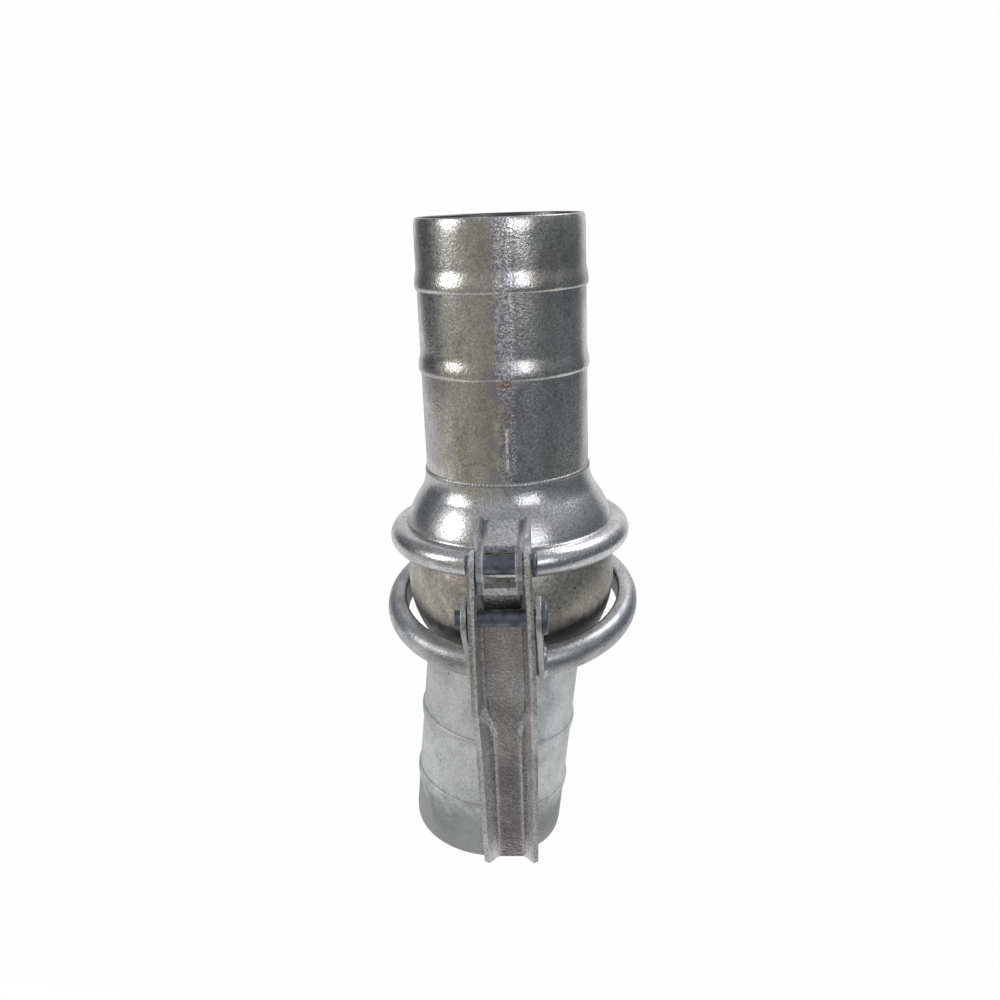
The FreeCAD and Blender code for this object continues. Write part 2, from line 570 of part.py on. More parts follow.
def hook_plan(inset):
    """Half-width of the hook seen from above, as a wire in the XY plane."""
    pin_half = HOOK_HALF_WIDTH - inset
    nose_half = HOOK_NOSE_HALF_WIDTH - inset
    outboard = -2 * HOOK_BOSS_RADIUS
    inboard = PIN_REACH - RIM_RADIUS + 3 * HOOK_NOSE_REACH
    right = [(pin_half, outboard), (pin_half, HOOK_FLARE_START), (nose_half, HOOK_FLARE_END),
             (nose_half, inboard)]
    left = [(-x, y) for x, y in right[::-1]]
    return Part.makePolygon([Vector(x, y, 0) for x, y in right + left + right[:1]])


def inside_plan(inset, z_from, z_to):
    """Block between two heights whose plan is that of the hook, inset mm smaller."""
    plan = Part.Face(hook_plan(inset))
    plan.translate(Vector(0, 0, z_from))
    return plan.extrude(Vector(0, 0, z_to - z_from))


def hook_body(inset, recess, floor):
    """Hook-shaped block; inset and recess give the hollow inside it."""
    reach = 3 * HOOK_NOSE_HALF_WIDTH
    side = stood_across(plate(hook_side(inset, recess, floor), reach), 0)
    return side.common(inside_plan(inset, -reach, reach))


def clasp_hook():
    """Channel-shaped hook: cheeks, a web sunk between them, and a strap that joins them below the pin."""
    body = hook_body(0, 0, -HOOK_STRAP_DROP)
    long_edges = []
    for edge in body.Edges:
        box = edge.BoundBox
        on_top = box.ZMin > HOOK_ARM_TOP - TINY and box.ZMax < HOOK_ARM_TOP + TINY
        if on_top and abs(box.Center.x) > TINY:
            long_edges.append(edge)
    body = body.makeChamfer(HOOK_BEVEL, long_edges)
    hollow = hook_body(HOOK_WALL, HOOK_RECESS, HOOK_WALL - HOOK_STRAP_DROP)
    reach = 2 * HOOK_STRAP_DROP
    room = HOOK_HALF_WIDTH - HOOK_WALL
    recess = inside_plan(HOOK_WALL, HOOK_ARM_TOP - HOOK_RECESS, 2 * HOOK_ARM_TOP)
    window = Part.makeBox(2 * room, 2 * reach, HOOK_STRAP_DROP + 2 * HOOK_ARM_TOP - HOOK_WALL,
                          Vector(-room, HOOK_WINDOW_BACK - 2 * reach, HOOK_WALL - HOOK_STRAP_DROP))
    under = Part.makeBox(2 * room, 4 * reach, HOOK_STRAP_DROP,
                         Vector(-room, HOOK_STRAP_DEPTH / 2, -HOOK_STRAP_DROP))
    body = body.cut(hollow).cut(recess).cut(window).cut(under)
    bore = cross_pin(HOOK_PIN_RADIUS + RUNNING_GAP, -HOOK_HALF_WIDTH - CLEAR, HOOK_HALF_WIDTH + CLEAR)
    return body.cut(bore)


PIECES = {
    "lower_hose_tail": (lower_hose_tail, (), Placement()),
    "ball_head": (ball_head, (), AT_BALL),
    "lower_neck_weld": (neck_weld, (BALL_RADIUS, 0, -1), AT_BALL),
    "upper_hose_tail": (upper_hose_tail, (), SOCKET_FRAME),
    "socket_bell": (socket_bell, (), SOCKET_FRAME),
    "upper_neck_weld": (neck_weld, (BELL_RADIUS, BELL_RISE, 1), SOCKET_FRAME),
    "socket_seal": (socket_seal, (), SOCKET_FRAME),
    "closure_ring": (closure_ring, (), RING_FRAME),
    "left_ear": (ear, (-1,), RING_FRAME),
    "right_ear": (ear, (1,), RING_FRAME),
    "left_ear_weld": (ear_weld, (-1,), RING_FRAME),
    "right_ear_weld": (ear_weld, (1,), RING_FRAME),
    "left_rear_claw": (rear_claw, (1,), RING_FRAME),
    "right_rear_claw": (rear_claw, (-1,), RING_FRAME),
    "left_claw_weld": (claw_weld, (1,), RING_FRAME),
    "right_claw_weld": (claw_weld, (-1,), RING_FRAME),
    "lever_pin": (lever_pin, (), RING_FRAME),
    "lever_handle": (lever_handle, (), LEVER_FRAME),
    "hook_pin": (hook_pin, (), LEVER_FRAME),
    "clasp_hook": (clasp_hook, (), HOOK_FRAME),
}


def main():
    os.makedirs("parts", exist_ok=True)
    for name, (make, arguments, placement) in PIECES.items():
        shape = make(*arguments)
        shape.transformShape(placement.toMatrix())
        shape.exportStep("parts/" + name + ".step")


main()
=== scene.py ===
"""Visual model of a lever-ring ball coupling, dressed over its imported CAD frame."""

import json
import logging
from dataclasses import dataclass
from enum import Enum
from math import acos, asin, copysign, cos, degrees, pi, radians, sin, sqrt, tau
from typing import Callable, Optional, Sequence, Union

import bmesh
import bpy
from mathutils import Matrix, Vector, noise


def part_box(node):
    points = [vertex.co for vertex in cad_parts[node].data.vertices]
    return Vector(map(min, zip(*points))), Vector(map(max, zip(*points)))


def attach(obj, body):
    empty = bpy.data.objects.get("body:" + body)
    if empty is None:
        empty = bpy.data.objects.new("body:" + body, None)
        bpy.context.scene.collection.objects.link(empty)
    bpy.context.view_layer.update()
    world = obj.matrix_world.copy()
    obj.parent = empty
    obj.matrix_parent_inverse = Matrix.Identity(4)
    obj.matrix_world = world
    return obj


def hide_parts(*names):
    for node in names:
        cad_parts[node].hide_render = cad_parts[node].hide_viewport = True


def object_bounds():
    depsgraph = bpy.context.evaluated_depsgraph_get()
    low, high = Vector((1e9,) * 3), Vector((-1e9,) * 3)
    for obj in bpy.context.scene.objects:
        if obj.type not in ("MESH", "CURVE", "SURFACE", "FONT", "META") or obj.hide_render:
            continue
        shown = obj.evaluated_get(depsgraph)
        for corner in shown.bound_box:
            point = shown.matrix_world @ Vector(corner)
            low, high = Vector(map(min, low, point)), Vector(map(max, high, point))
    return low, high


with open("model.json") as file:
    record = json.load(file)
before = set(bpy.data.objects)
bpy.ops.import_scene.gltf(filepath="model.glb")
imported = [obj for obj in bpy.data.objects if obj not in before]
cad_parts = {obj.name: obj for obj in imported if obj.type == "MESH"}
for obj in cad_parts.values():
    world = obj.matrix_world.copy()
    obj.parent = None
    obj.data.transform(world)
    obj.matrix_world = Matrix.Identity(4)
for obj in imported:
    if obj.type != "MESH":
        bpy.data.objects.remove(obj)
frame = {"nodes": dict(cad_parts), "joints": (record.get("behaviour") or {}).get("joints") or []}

log = logging.getLogger("coupling")

Point = Colour = tuple[float, float, float]
Step = tuple[float, float]
Socket = bpy.types.NodeSocket
Draft = bmesh.types.BMesh

CAD_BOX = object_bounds()


# ---- shader expressions ----
def operator(kind: str, reflected: bool = False) -> Callable[["Signal", "Number"], "Signal"]:
    """The Signal method for one kind of Math node; reflected puts the other value first."""
    return lambda self, other: self.math(kind, other, self) if reflected else self.math(kind, self, other)


class Signal:
    """A number in a shader, so that shader maths reads as a Python expression."""

    __add__, __radd__ = operator("ADD"), operator("ADD", reflected=True)
    __sub__, __rsub__ = operator("SUBTRACT"), operator("SUBTRACT", reflected=True)
    __mul__, __rmul__ = operator("MULTIPLY"), operator("MULTIPLY", reflected=True)
    __pow__ = operator("POWER")
    at_least = operator("MAXIMUM")
    bearing = operator("ARCTAN2")  # the angle of the point (other, self), in radians

    def __init__(self, shader: "Shader", socket: Socket) -> None:
        """Wraps an output that carries a number."""
        self.shader = shader
        self.socket = socket

    def math(self, kind: str, *values: "Number") -> "Signal":
        """The result of a Math node on the given values."""
        return self.shader.number("Math", dict(enumerate(values)), operation=kind)

    def __abs__(self) -> "Signal":
        """The size of self without its sign."""
        return self.math("ABSOLUTE", self)

    def rising(self, low: float, high: float) -> "Signal":
        """A smooth step.

        Args:
            low: where it leaves 0.
            high: where it reaches 1; below low for a falling step.

        Returns:
            0 on low's side, 1 on high's side, smooth between.
        """
        inputs = {"Value": self, "From Min": min(low, high), "From Max": max(low, high)}
        step = self.shader.number("MapRange", inputs, interpolation_type="SMOOTHSTEP", clamp=True)
        return step if low < high else 1 - step


Number = Union[float, Signal]
Feed = Union[float, Point, Signal, Socket]
Inputs = dict[Union[int, str], Feed]


class Shader:
    """One node tree of a material or world, with short calls for the nodes used here."""

    def __init__(self, tree: bpy.types.NodeTree) -> None:
        """Takes over a node tree and empties it."""
        self.tree = tree
        tree.nodes.clear()

    def node(self, kind: str, inputs: Inputs, **settings: object) -> bpy.types.Node:
        """Adds any node.

        Args:
            kind: the node's type, without ShaderNode in front.
            inputs: values or links for its sockets, by name or index.
            **settings: its properties, set before its inputs.

        Returns:
            The new node.
        """
        made = self.tree.nodes.new("ShaderNode" + kind)
        for name, value in settings.items():
            setattr(made, name, value)
        for key, value in inputs.items():
            self.feed(made.inputs[key], value)
        return made

    def feed(self, socket: Socket, value: Feed) -> None:
        """Links a socket, or sets it where the value is plain.

        Args:
            socket: the input to feed.
            value: a number, tuple, Signal or output socket.
        """
        if isinstance(value, Signal):
            value = value.socket
        if isinstance(value, Socket):
            self.tree.links.new(value, socket)
        elif isinstance(value, tuple) and socket.type == "RGBA":
            socket.default_value = (*value, 1.0)
        else:
            socket.default_value = value

    def number(self, kind: str, inputs: Inputs, output: str = "", **settings: object) -> Signal:
        """Adds a node and wraps its first output, or the named one, as a number."""
        return Signal(self, self.node(kind, inputs, **settings).outputs[output or 0])

    def place(self, kind: str = "Object") -> Socket:
        """The point being shaded, in the piece's own coordinates, in metres."""
        return self.node("TexCoord", {}).outputs[kind]

    def mapped(self, where: Socket, scale: Point = (1, 1, 1), turn: Point = (0, 0, 0),
               shift: Point = (0, 0, 0)) -> Socket:
        """The position scaled, turned by Euler angles in radians and shifted in metres."""
        inputs = {"Vector": where, "Location": shift, "Rotation": turn, "Scale": scale}
        return self.node("Mapping", inputs, vector_type="POINT").outputs[0]

    def split(self, where: Socket) -> tuple[Signal, Signal, Signal]:
        """The three parts of a position."""
        x, y, z = (Signal(self, part) for part in self.node("SeparateXYZ", {0: where}).outputs)
        return x, y, z

    def noise(self, where: Socket, size: float, detail: float = 3.0, roughness: float = 0.5,
              distortion: float = 0.0) -> Signal:
        """Cloudy noise about 0.5, with blobs of a size in metres and finer octaves of detail."""
        inputs = {"Vector": where, "Scale": 1.0 / size, "Detail": detail,
                  "Roughness": roughness, "Distortion": distortion}
        return self.number("TexNoise", inputs, "Fac")

    def dots(self, where: Socket, size: float) -> Signal:
        """Scattered points: the distance from the nearest one, in shares of their spacing."""
        inputs = {"Vector": where, "Scale": 1.0 / size}
        return self.number("TexVoronoi", inputs, "Distance", feature="F1")

    def grey(self, level: Number) -> Socket:
        """A neutral colour of the given level."""
        return self.node("CombineXYZ", {0: level, 1: level, 2: level}).outputs[0]

    def rays(self) -> tuple[Signal, Signal]:
        """Tells how the camera sees the point.

        Returns:
            Whether it sees it directly, and whether it sees it in or through another surface.
        """
        seen = self.node("LightPath", {}).outputs
        direct, glossy, through = (Signal(self, seen[f"Is {kind} Ray"])
                                   for kind in ("Camera", "Glossy", "Transmission"))
        return direct, glossy.at_least(through)

    def mix(self, share: Number, base: Feed, over: Feed, blend: str = "MIX") -> Socket:
        """The base colour with a share of the other blended over it."""
        inputs = {0: share, 6: base, 7: over}
        return self.node("Mix", inputs, data_type="RGBA", blend_type=blend, clamp_factor=True).outputs[2]

    def bump(self, height: Signal) -> Socket:
        """The direction of a surface whose height is given in metres."""
        inputs = {"Height": height, "Distance": 1.0, "Strength": 1.0}
        return self.node("Bump", inputs).outputs[0]

    def end(self, surface: Socket, kind: str = "OutputMaterial") -> None:
        """Links the finished surface to the output."""
        self.node(kind, {"Surface": surface})


@dataclass
class Surface:
    """A surface as its finish mixes it, with the patterns that its marks share."""

    shader: Shader
    place: Socket
    colour: Socket
    rough: Number
    metal: Number
    height: Signal
    grain: Optional[Signal] = None
    specks: Optional[Signal] = None

    def paint(self, share: Number, colour: Colour) -> None:
        """Lays a colour over a share of the surface."""
        self.colour = self.shader.mix(share, self.colour, colour)

    def finish(self) -> None:
        """Ends the material in this surface."""
        inputs = {"Base Color": self.colour, "Roughness": self.rough, "Metallic": self.metal,
                  "Normal": self.shader.bump(self.height)}
        self.shader.end(self.shader.node("BsdfPrincipled", inputs).outputs[0])


@dataclass(frozen=True)
class Finish:
    """A look that fills a material."""

    name: str

    def material(self) -> bpy.types.Material:
        """Builds the finish.

        Returns:
            The material.
        """
        made = bpy.data.materials.new(self.name)
        made.use_nodes = True
        self.fill(Shader(made.node_tree))
        return made

    def fill(self, shader: Shader) -> None:
        """Mixes the finish in the given empty shader."""
        raise NotImplementedError


# ---- places on the frame ----
@dataclass(frozen=True)
class Axis:
    """A line in the row frame: a tube's centre line or a joint's axis."""

    origin: Vector
    along: Vector
    across: Vector = Vector((1, 0, 0))

    def matrix(self) -> Matrix:
        """Leads from local coordinates into the row frame.

        Returns:
            The matrix, with local +Z along the axis and +X across it.
        """
        z = self.along.normalized()
        x = (self.across - z * self.across.dot(z)).normalized()
        turn = Matrix((x, z.cross(x), z)).transposed().to_4x4()
        return Matrix.Translation(self.origin) @ turn

    def turned(self, pivot: Vector, angle_deg: float) -> "Axis":
        """The axis after a turn about the line through pivot along its across direction."""
        turn = Matrix.Rotation(radians(angle_deg), 3, self.across)
        return Axis(pivot + turn @ (self.origin - pivot), turn @ self.along, self.across)


def joint_axis(name: str, across: Vector = Vector((1, 0, 0))) -> Axis:
    """The axis of one of the record's joints."""
    joint = next(entry for entry in frame["joints"] if entry["name"] == name)
    return Axis(Vector(joint["pos_m"]), Vector(joint["axis"]), across)


CROSS = -joint_axis("ring_rise").along
LOWER_AXIS = Axis(Vector((0, 0, 0)), Vector((0, 0, 1)))
UPPER_AXIS = joint_axis("swivel", CROSS)
RING_DROOP_DEG = 11.0
RING_AXIS = UPPER_AXIS.turned(joint_axis("ring_rise").origin, RING_DROOP_DEG)


# ---- finishes ----
class Home(Enum):
    """Whose axis a finish is laid out about."""

    LOWER = "lower tube"
    UPPER = "upper tube"
    RING = "closure ring"
    LEVER = "lever"

    def axis(self) -> Axis:
        """Finds the axis that the name stands for.

        Returns:
            The axis in the row frame.
        """
        pin = joint_axis("lever_swing").origin
        lever = Axis(pin, joint_axis("hook_lift").origin - pin, CROSS)
        return {Home.LOWER: LOWER_AXIS, Home.UPPER: UPPER_AXIS, Home.RING: RING_AXIS}.get(self, lever)


@dataclass(frozen=True)
class Seam:
    """The tube's lengthwise weld, rolled flat, with rust where it crosses a ridge.

    Pairs of numbers are the two ends of a soft step. Distances across the seam and heights along
    the tube are in metres.
    """

    bearing_deg: float = 3.0
    half_width: float = 0.0060
    height: float = 0.00004
    grain_gain: float = 2.2
    tube_radius: float = 0.054
    wander: float = 0.004
    wander_size: float = 0.03
    heated: Step = (0.019, 0.007)
    heated_share: float = 0.6
    patch_size: float = 0.012
    # the seam's pale specks and the height above which they show: partly the weld's own pale spots, partly
    # painted glints
    glints_above: Step = (0.118, 0.142)
    bright: Colour = (0.82, 0.80, 0.83)
    dark_share: float = 0.8
    rust_at: float = 0.1395
    rust_size: float = 0.006
    rust_spots: float = 0.0018
    rust: Colour = (0.33, 0.10, 0.045)
    thread_half: Step = (0.0011, 0.0004)
    thread_foot: Step = (0.083, 0.088)
    thread_top: Step = (0.114, 0.110)
    thread: Colour = (0.93, 0.88, 0.88)
    thread_dull: float = 0.7

    def mark(self, look: Surface, violet: Colour, grain_height: float) -> None:
        """Draws the seam with pale specks that are partly painted glints, the heated zinc beside it, its rust
        and a thread of bare weld.

        Args:
            look: the surface so far.
            violet: the colour of heated zinc.
            grain_height: how far the plain surface's grain stands out.
        """
        shader, place, specks = look.shader, look.place, look.specks
        x, y, z = shader.split(place)
        wander = (shader.noise(place, self.wander_size, 2) - 0.5) * self.wander
        beside = abs(x.bearing(0 - y) - radians(self.bearing_deg)) * self.tube_radius + wander
        seam = beside.rising(self.half_width * 1.25, self.half_width * 0.6)
        along = abs(z - self.rust_at)
        near = (along * along * 3 + beside * beside * 0.7) ** 0.5
        spots = shader.noise(place, self.rust_spots, 3, 0.7).rising(0.40, 0.52)
        rust = near.rising(self.rust_size, self.rust_size * 0.3) * spots
        upper = z.rising(*self.glints_above)
        thread = (beside.rising(*self.thread_half) * z.rising(*self.thread_foot)
                  * z.rising(*self.thread_top) * specks.rising(0.36, 0.5))
        patches = shader.noise(place, self.patch_size, 3, 0.6).rising(0.4, 0.6)
        look.paint(beside.rising(*self.heated) * patches * self.heated_share, violet)
        # pale specks on the seam's upper part: partly the weld's own pale spots, partly painted glints
        look.paint(seam * upper * specks.rising(0.49, 0.57), self.bright)
        look.paint(seam * specks.rising(0.49, 0.42) * self.dark_share, violet)
        look.paint(rust * 0.85, self.rust)
        look.paint(thread, self.thread)
        look.rough = look.rough + rust * 0.3 + seam * upper * 0.08 + thread * 0.15
        look.metal = look.metal - thread * self.thread_dull
        look.height = look.height + seam * self.height + seam * look.grain * (grain_height * self.grain_gain)


@dataclass(frozen=True)
class PaintedDarkening:
    """Painted darkening under a sloping level and inside a radius, mostly painted shade."""

    level: float = -1.0
    slope: float = 0.0
    soft: float = 0.006
    inside: float = 0.0
    forward: float = 0.0
    share: float = 0.7
    colour: Colour = (0.10, 0.10, 0.11)
    roughness: float = 0.15
    patch_size: float = 0.007
    edge: float = 0.0004

    def mark(self, look: Surface) -> None:
        """Lays the painted darkening on the surface.

        Args:
            look: the surface so far.
        """
        x, y, z = look.shader.split(look.place)
        patchy = (look.shader.noise(look.place, self.patch_size, 3, 0.6) - 0.5) * (self.soft * 3)
        # the darker colour laid here is painted shade, except low on the lower tail, where it only darkens
        # the bottom
        under = (z - x * self.slope + patchy).rising(self.level + self.soft, self.level - self.soft)
        ahead = y + self.forward
        within = ((x * x + ahead * ahead) ** 0.5).rising(self.inside + self.edge, self.inside)
        darkened = under.at_least(within) * self.share
        look.paint(darkened, self.colour)
        look.rough = look.rough + darkened * self.roughness


@dataclass(frozen=True)
class PaintedLightBand:
    """Painted light: strips on both sides of a pressing's middle, painted paler as highlights and reflections
    or darker as shade.
    """

    start: float
    end: float
    share: float
    roughness: float
    colour: Colour
    dull: float = 0.0
    soft: float = 0.0007
    low: float = -1.0
    high: float = 1.0
    fade: float = 0.012
    slant: float = 0.0
    ragged_size: float = 0.004

    def mark(self, look: Surface) -> None:
        """Lays the painted light strips on the surface.

        Args:
            look: the surface so far.
        """
        x, _, z = look.shader.split(look.place)
        ragged = (look.shader.noise(look.place, self.ragged_size, 2) - 0.5) * self.soft
        out = abs(x) + ragged - (z - self.low) * self.slant
        inner = out.rising(self.start - self.soft, self.start + self.soft)
        across = inner * out.rising(self.end + self.soft, self.end - self.soft)
        along = z.rising(self.low - self.fade, self.low) * z.rising(self.high + self.fade, self.high)
        # the strip's colour is painted light: pale for highlights and reflections, dark for shade
        strip = across * along * self.share
        look.paint(strip * look.specks.rising(0.3, 0.6), self.colour)
        look.rough = look.rough + strip * self.roughness
        look.metal = look.metal - strip * look.specks.rising(0.42, 0.6) * self.dull


@dataclass(frozen=True)
class Zinc(Finish):
    """Hot-dip zinc on steel, from fresh and bright to dull and cloudy."""

    clean: Colour = (0.60, 0.60, 0.59)
    cloudy: Colour = (0.46, 0.46, 0.46)
    brown: Colour = (0.40, 0.345, 0.28)
    violet: Colour = (0.36, 0.33, 0.41)
    brown_share: float = 0.4
    violet_share: float = 0.15
    rough: Step = (0.32, 0.5)
    metallic: float = 1.0
    cloud_size: float = 0.035
    tint_size: float = 0.006
    speck_size: float = 0.0013
    speck_depth: float = 0.5
    grain_size: float = 0.0016
    grain_height: float = 0.00016
    wave_size: float = 0.022
    wave_height: float = 0.0003
    pit_spacing: float = 0.007
    pit_share: float = 0.5
    home: Home = Home.LOWER
    seam: Optional[Seam] = None
    darkening: Optional[PaintedDarkening] = None
    painted_light_bands: tuple[PaintedLightBand, ...] = ()

    def local(self, shader: Shader) -> Socket:
        """The shaded point with +Z along the home axis."""
        inverse = self.home.axis().matrix().inverted()
        return shader.mapped(shader.place(), turn=tuple(inverse.to_euler()), shift=tuple(inverse.translation))

    def colour(self, shader: Shader, place: Socket, clouds: Signal, specks: Signal) -> Socket:
        """Mixes the zinc's greys with its brown and violet bloom.

        Args:
            shader: the finish's shader.
            place: the shaded point in the home axis's coordinates.
            clouds: the large soft pattern.
            specks: the fine pattern.

        Returns:
            The colour.
        """
        bloom = shader.noise(shader.mapped(place, scale=(1, 1, 0.5), shift=(0.31, 0.17, 0.05)),
                             self.cloud_size * 1.3, 3, 0.6, 1.0)
        tints = shader.noise(shader.mapped(place, scale=(1, 1, 0.6), shift=(0.11, 0.47, 0.25)),
                             self.tint_size, 3, 0.7, 0.6)
        colour = shader.mix(clouds.rising(0.35, 0.68), self.clean, self.cloudy)
        colour = shader.mix(bloom.rising(0.42, 0.62) * self.brown_share, colour, self.brown)
        colour = shader.mix(tints.rising(0.5, 0.66) * self.violet_share, colour, self.violet)
        pits = shader.dots(place, self.pit_spacing).rising(0.16, 0.08) * clouds.rising(0.45, 0.6)
        tone = (1 + (specks - 0.5) * self.speck_depth * 2) * (1 - pits * self.pit_share)
        return shader.mix(1.0, colour, shader.grey(tone), "MULTIPLY")

    def fill(self, shader: Shader) -> None:
        """Mixes the plain zinc, then its seam, its painted light bands and its painted darkening.

        Args:
            shader: the empty shader to fill.
        """
        place = self.local(shader)
        clouds = shader.noise(place, self.cloud_size, 4, 0.6, 0.6)
        grain = shader.noise(place, self.grain_size, 2, 0.6)
        specks = shader.noise(place, self.speck_size, 3, 0.65)
        wave = shader.noise(place, self.wave_size, 2, 0.4)
        matt = clouds.rising(0.35, 0.68) * 0.6 + specks.rising(0.35, 0.7) * 0.4
        low, high = self.rough
        look = Surface(shader, place, self.colour(shader, place, clouds, specks),
                       rough=low + (high - low) * matt, metal=self.metallic,
                       height=wave * self.wave_height + grain * self.grain_height,
                       grain=grain, specks=specks)
        if self.seam is not None:
            self.seam.mark(look, self.violet, self.grain_height)
        for painted_band in self.painted_light_bands:
            painted_band.mark(look)
        if self.darkening is not None:
            self.darkening.mark(look)
        look.finish()


@dataclass(frozen=True)
class PinSteel(Finish):
    """Turned pin steel, dulled to a dark blue grey."""

    bright: Colour = (0.21, 0.225, 0.26)
    dark: Colour = (0.10, 0.107, 0.125)
    mark_size: float = 0.0006
    mark_depth: float = 0.00003
    dirt_size: float = 0.009
    dirt_depth: float = 0.00008
    metallic: float = 0.9

    def fill(self, shader: Shader) -> None:
        """Mixes the lathe marks and the dirt.

        Args:
            shader: the empty shader to fill.
        """
        place = shader.place()
        marks = shader.noise(shader.mapped(place, scale=(1, 0.08, 0.08)), self.mark_size, 3, 0.6)
        darkened = shader.noise(place, self.dirt_size, 4, 0.6)
        Surface(shader, place, shader.mix(darkened.rising(0.35, 0.7), self.bright, self.dark),
                rough=0.36 + 0.18 * darkened.rising(0.4, 0.7), metal=self.metallic,
                height=marks * self.mark_depth + darkened * self.dirt_depth).finish()


@dataclass(frozen=True)
class Rubber(Finish):
    """Black moulded rubber with a dusty bloom."""

    name: str = "seal_rubber_moulded"
    black: Colour = (0.018, 0.018, 0.019)
    bloom: Colour = (0.06, 0.06, 0.062)
    dust_size: float = 0.004
    dust_depth: float = 0.0001

    def fill(self, shader: Shader) -> None:
        """Mixes the dust on the rubber.

        Args:
            shader: the empty shader to fill.
        """
        place = shader.place()
        dust = shader.noise(place, self.dust_size, 4, 0.7)
        Surface(shader, place, shader.mix(dust.rising(0.45, 0.75), self.black, self.bloom),
                rough=0.55 + 0.2 * dust, metal=0.0, height=dust * self.dust_depth).finish()


# the darkening inside radius 0.0512 is painted shade inside the bore; the seam's pale specks are partly
# painted glints
TUBE_BRIGHT = Zinc(
    "zinc_bright_tube", clean=(0.66, 0.65, 0.625), cloudy=(0.49, 0.485, 0.475), brown_share=0.5,
    violet_share=0.45, rough=(0.22, 0.38), speck_depth=0.8, grain_height=0.00015,
    home=Home.UPPER, seam=Seam(), darkening=PaintedDarkening(inside=0.0512, share=0.85))
# the darkening inside the bore is painted shade; the one under the level only makes the tail darker towards
# the bottom
TUBE_DULL = Zinc(
    "zinc_dull_tube", clean=(0.71, 0.725, 0.725), cloudy=(0.55, 0.57, 0.575), brown_share=0.15,
    violet_share=0.1, rough=(0.45, 0.62), metallic=0.75, speck_depth=0.55,
    darkening=PaintedDarkening(level=0.037, soft=0.013, inside=0.0512, share=0.55, colour=(0.19, 0.20, 0.20)))
BELL_ZINC = Zinc(
    "zinc_bell", clean=(0.68, 0.685, 0.69), cloudy=(0.52, 0.525, 0.535), brown_share=0.2, violet_share=0.3,
    rough=(0.24, 0.37), speck_depth=0.8, grain_height=0.00014, home=Home.UPPER)
# the dark colour under the sloping level is painted shade on the ball's underside, in the ring's shadow
BALL_ZINC = Zinc(
    "zinc_ball", clean=(0.56, 0.54, 0.50), cloudy=(0.38, 0.365, 0.335), speck_depth=0.85, speck_size=0.0022,
    pit_share=0.6, darkening=PaintedDarkening(level=0.188, slope=0.2, soft=0.007, share=0.85, colour=(0.06, 0.062, 0.075)))
# the darkening inside radius 0.0742 is painted shade on the ring's inner wall
RING_ZINC = Zinc(
    "zinc_ring", clean=(0.55, 0.56, 0.57), cloudy=(0.35, 0.36, 0.375), brown_share=0.12, speck_depth=0.75,
    grain_height=0.00022, home=Home.RING, darkening=PaintedDarkening(inside=0.0742, forward=0.006, share=0.75))
PLATE_ZINC = Zinc(
    "zinc_plate", clean=(0.56, 0.56, 0.56), cloudy=(0.42, 0.42, 0.43), brown_share=0.1, violet_share=0.2,
    speck_depth=0.7, home=Home.LEVER)
WELD_ZINC = Zinc(
    "zinc_weld", clean=(0.52, 0.52, 0.52), cloudy=(0.38, 0.38, 0.38), brown_share=0.2, violet_share=0.0,
    rough=(0.3, 0.5))
# painted light on the hook: a pale painted reflection down its middle, and painted shade along its outer
# bends
HOOK_PAINTED_LIGHT = (
    PaintedLightBand(-0.01, 0.0090, 0.8, 0.05, (0.86, 0.87, 0.88), dull=0.6),
    PaintedLightBand(0.0098, 0.0140, 0.75, 0.0, (0.17, 0.18, 0.20)))
# the hook's pale zinc is partly its own colour, partly a painted reflection of the bell's highlights
HOOK_ZINC = Zinc(
    "zinc_hook", clean=(0.80, 0.805, 0.815), cloudy=(0.52, 0.53, 0.545), brown_share=0.08,
    rough=(0.36, 0.52), speck_depth=1.0, speck_size=0.0018, home=Home.LEVER, painted_light_bands=HOOK_PAINTED_LIGHT)
# painted light on the lever, in order: glints on the walls, glints along the funnel's flanks, highlight lines
# at the lower flanks' foot, reflections on their side, a highlight at the fork, and a painted dark reflection
# on the lower floor
LEVER_PAINTED_LIGHT = (
    PaintedLightBand(0.0116, 0.0168, 0.7, 0.25, (0.84, 0.85, 0.87), dull=0.85),
    PaintedLightBand(0.0062, 0.0092, 1.0, 0.1, (0.99, 0.99, 0.99), dull=1.0, soft=0.0004,
         low=-0.081, high=-0.062, fade=0.004, slant=0.34),
    PaintedLightBand(0.0068, 0.0086, 0.6, 0.1, (0.92, 0.93, 0.95), dull=0.8, low=-0.15, high=-0.086),
    PaintedLightBand(0.0092, 0.0120, 0.6, 0.1, (0.88, 0.89, 0.91), dull=0.8, low=-0.17, high=-0.086),
    PaintedLightBand(-0.01, 0.0105, 0.7, 0.1, (0.92, 0.92, 0.92), dull=0.7, low=0.014, high=0.03),
    PaintedLightBand(-0.01, 0.0066, 0.75, 0.0, (0.15, 0.12, 0.165), soft=0.0016, low=-0.2, high=-0.11, fade=0.03))
LEVER_ZINC = Zinc(
    "zinc_lever", clean=(0.64, 0.625, 0.615), cloudy=(0.43, 0.41, 0.415), brown_share=0.45, violet_share=0.5,
    rough=(0.18, 0.32), speck_depth=0.9, grain_height=0.00022, wave_height=0.0006,
    home=Home.LEVER, painted_light_bands=LEVER_PAINTED_LIGHT)


# ---- mesh tools ----
Profile = list[Step]
Row = Sequence[bmesh.types.BMVert]
AROUND = 288
SAME_PLACE = 2e-6
FLAT_DEG = 0.5


def arc(centre: Step, radius: float, start_deg: float, end_deg: float, steps: int) -> Profile:
    """Points of an arc, both ends included, with angles from outwards towards up."""
    angles = (radians(start_deg + (end_deg - start_deg) * step / steps) for step in range(steps + 1))
    return [(centre[0] + radius * cos(angle), centre[1] + radius * sin(angle)) for angle in angles]


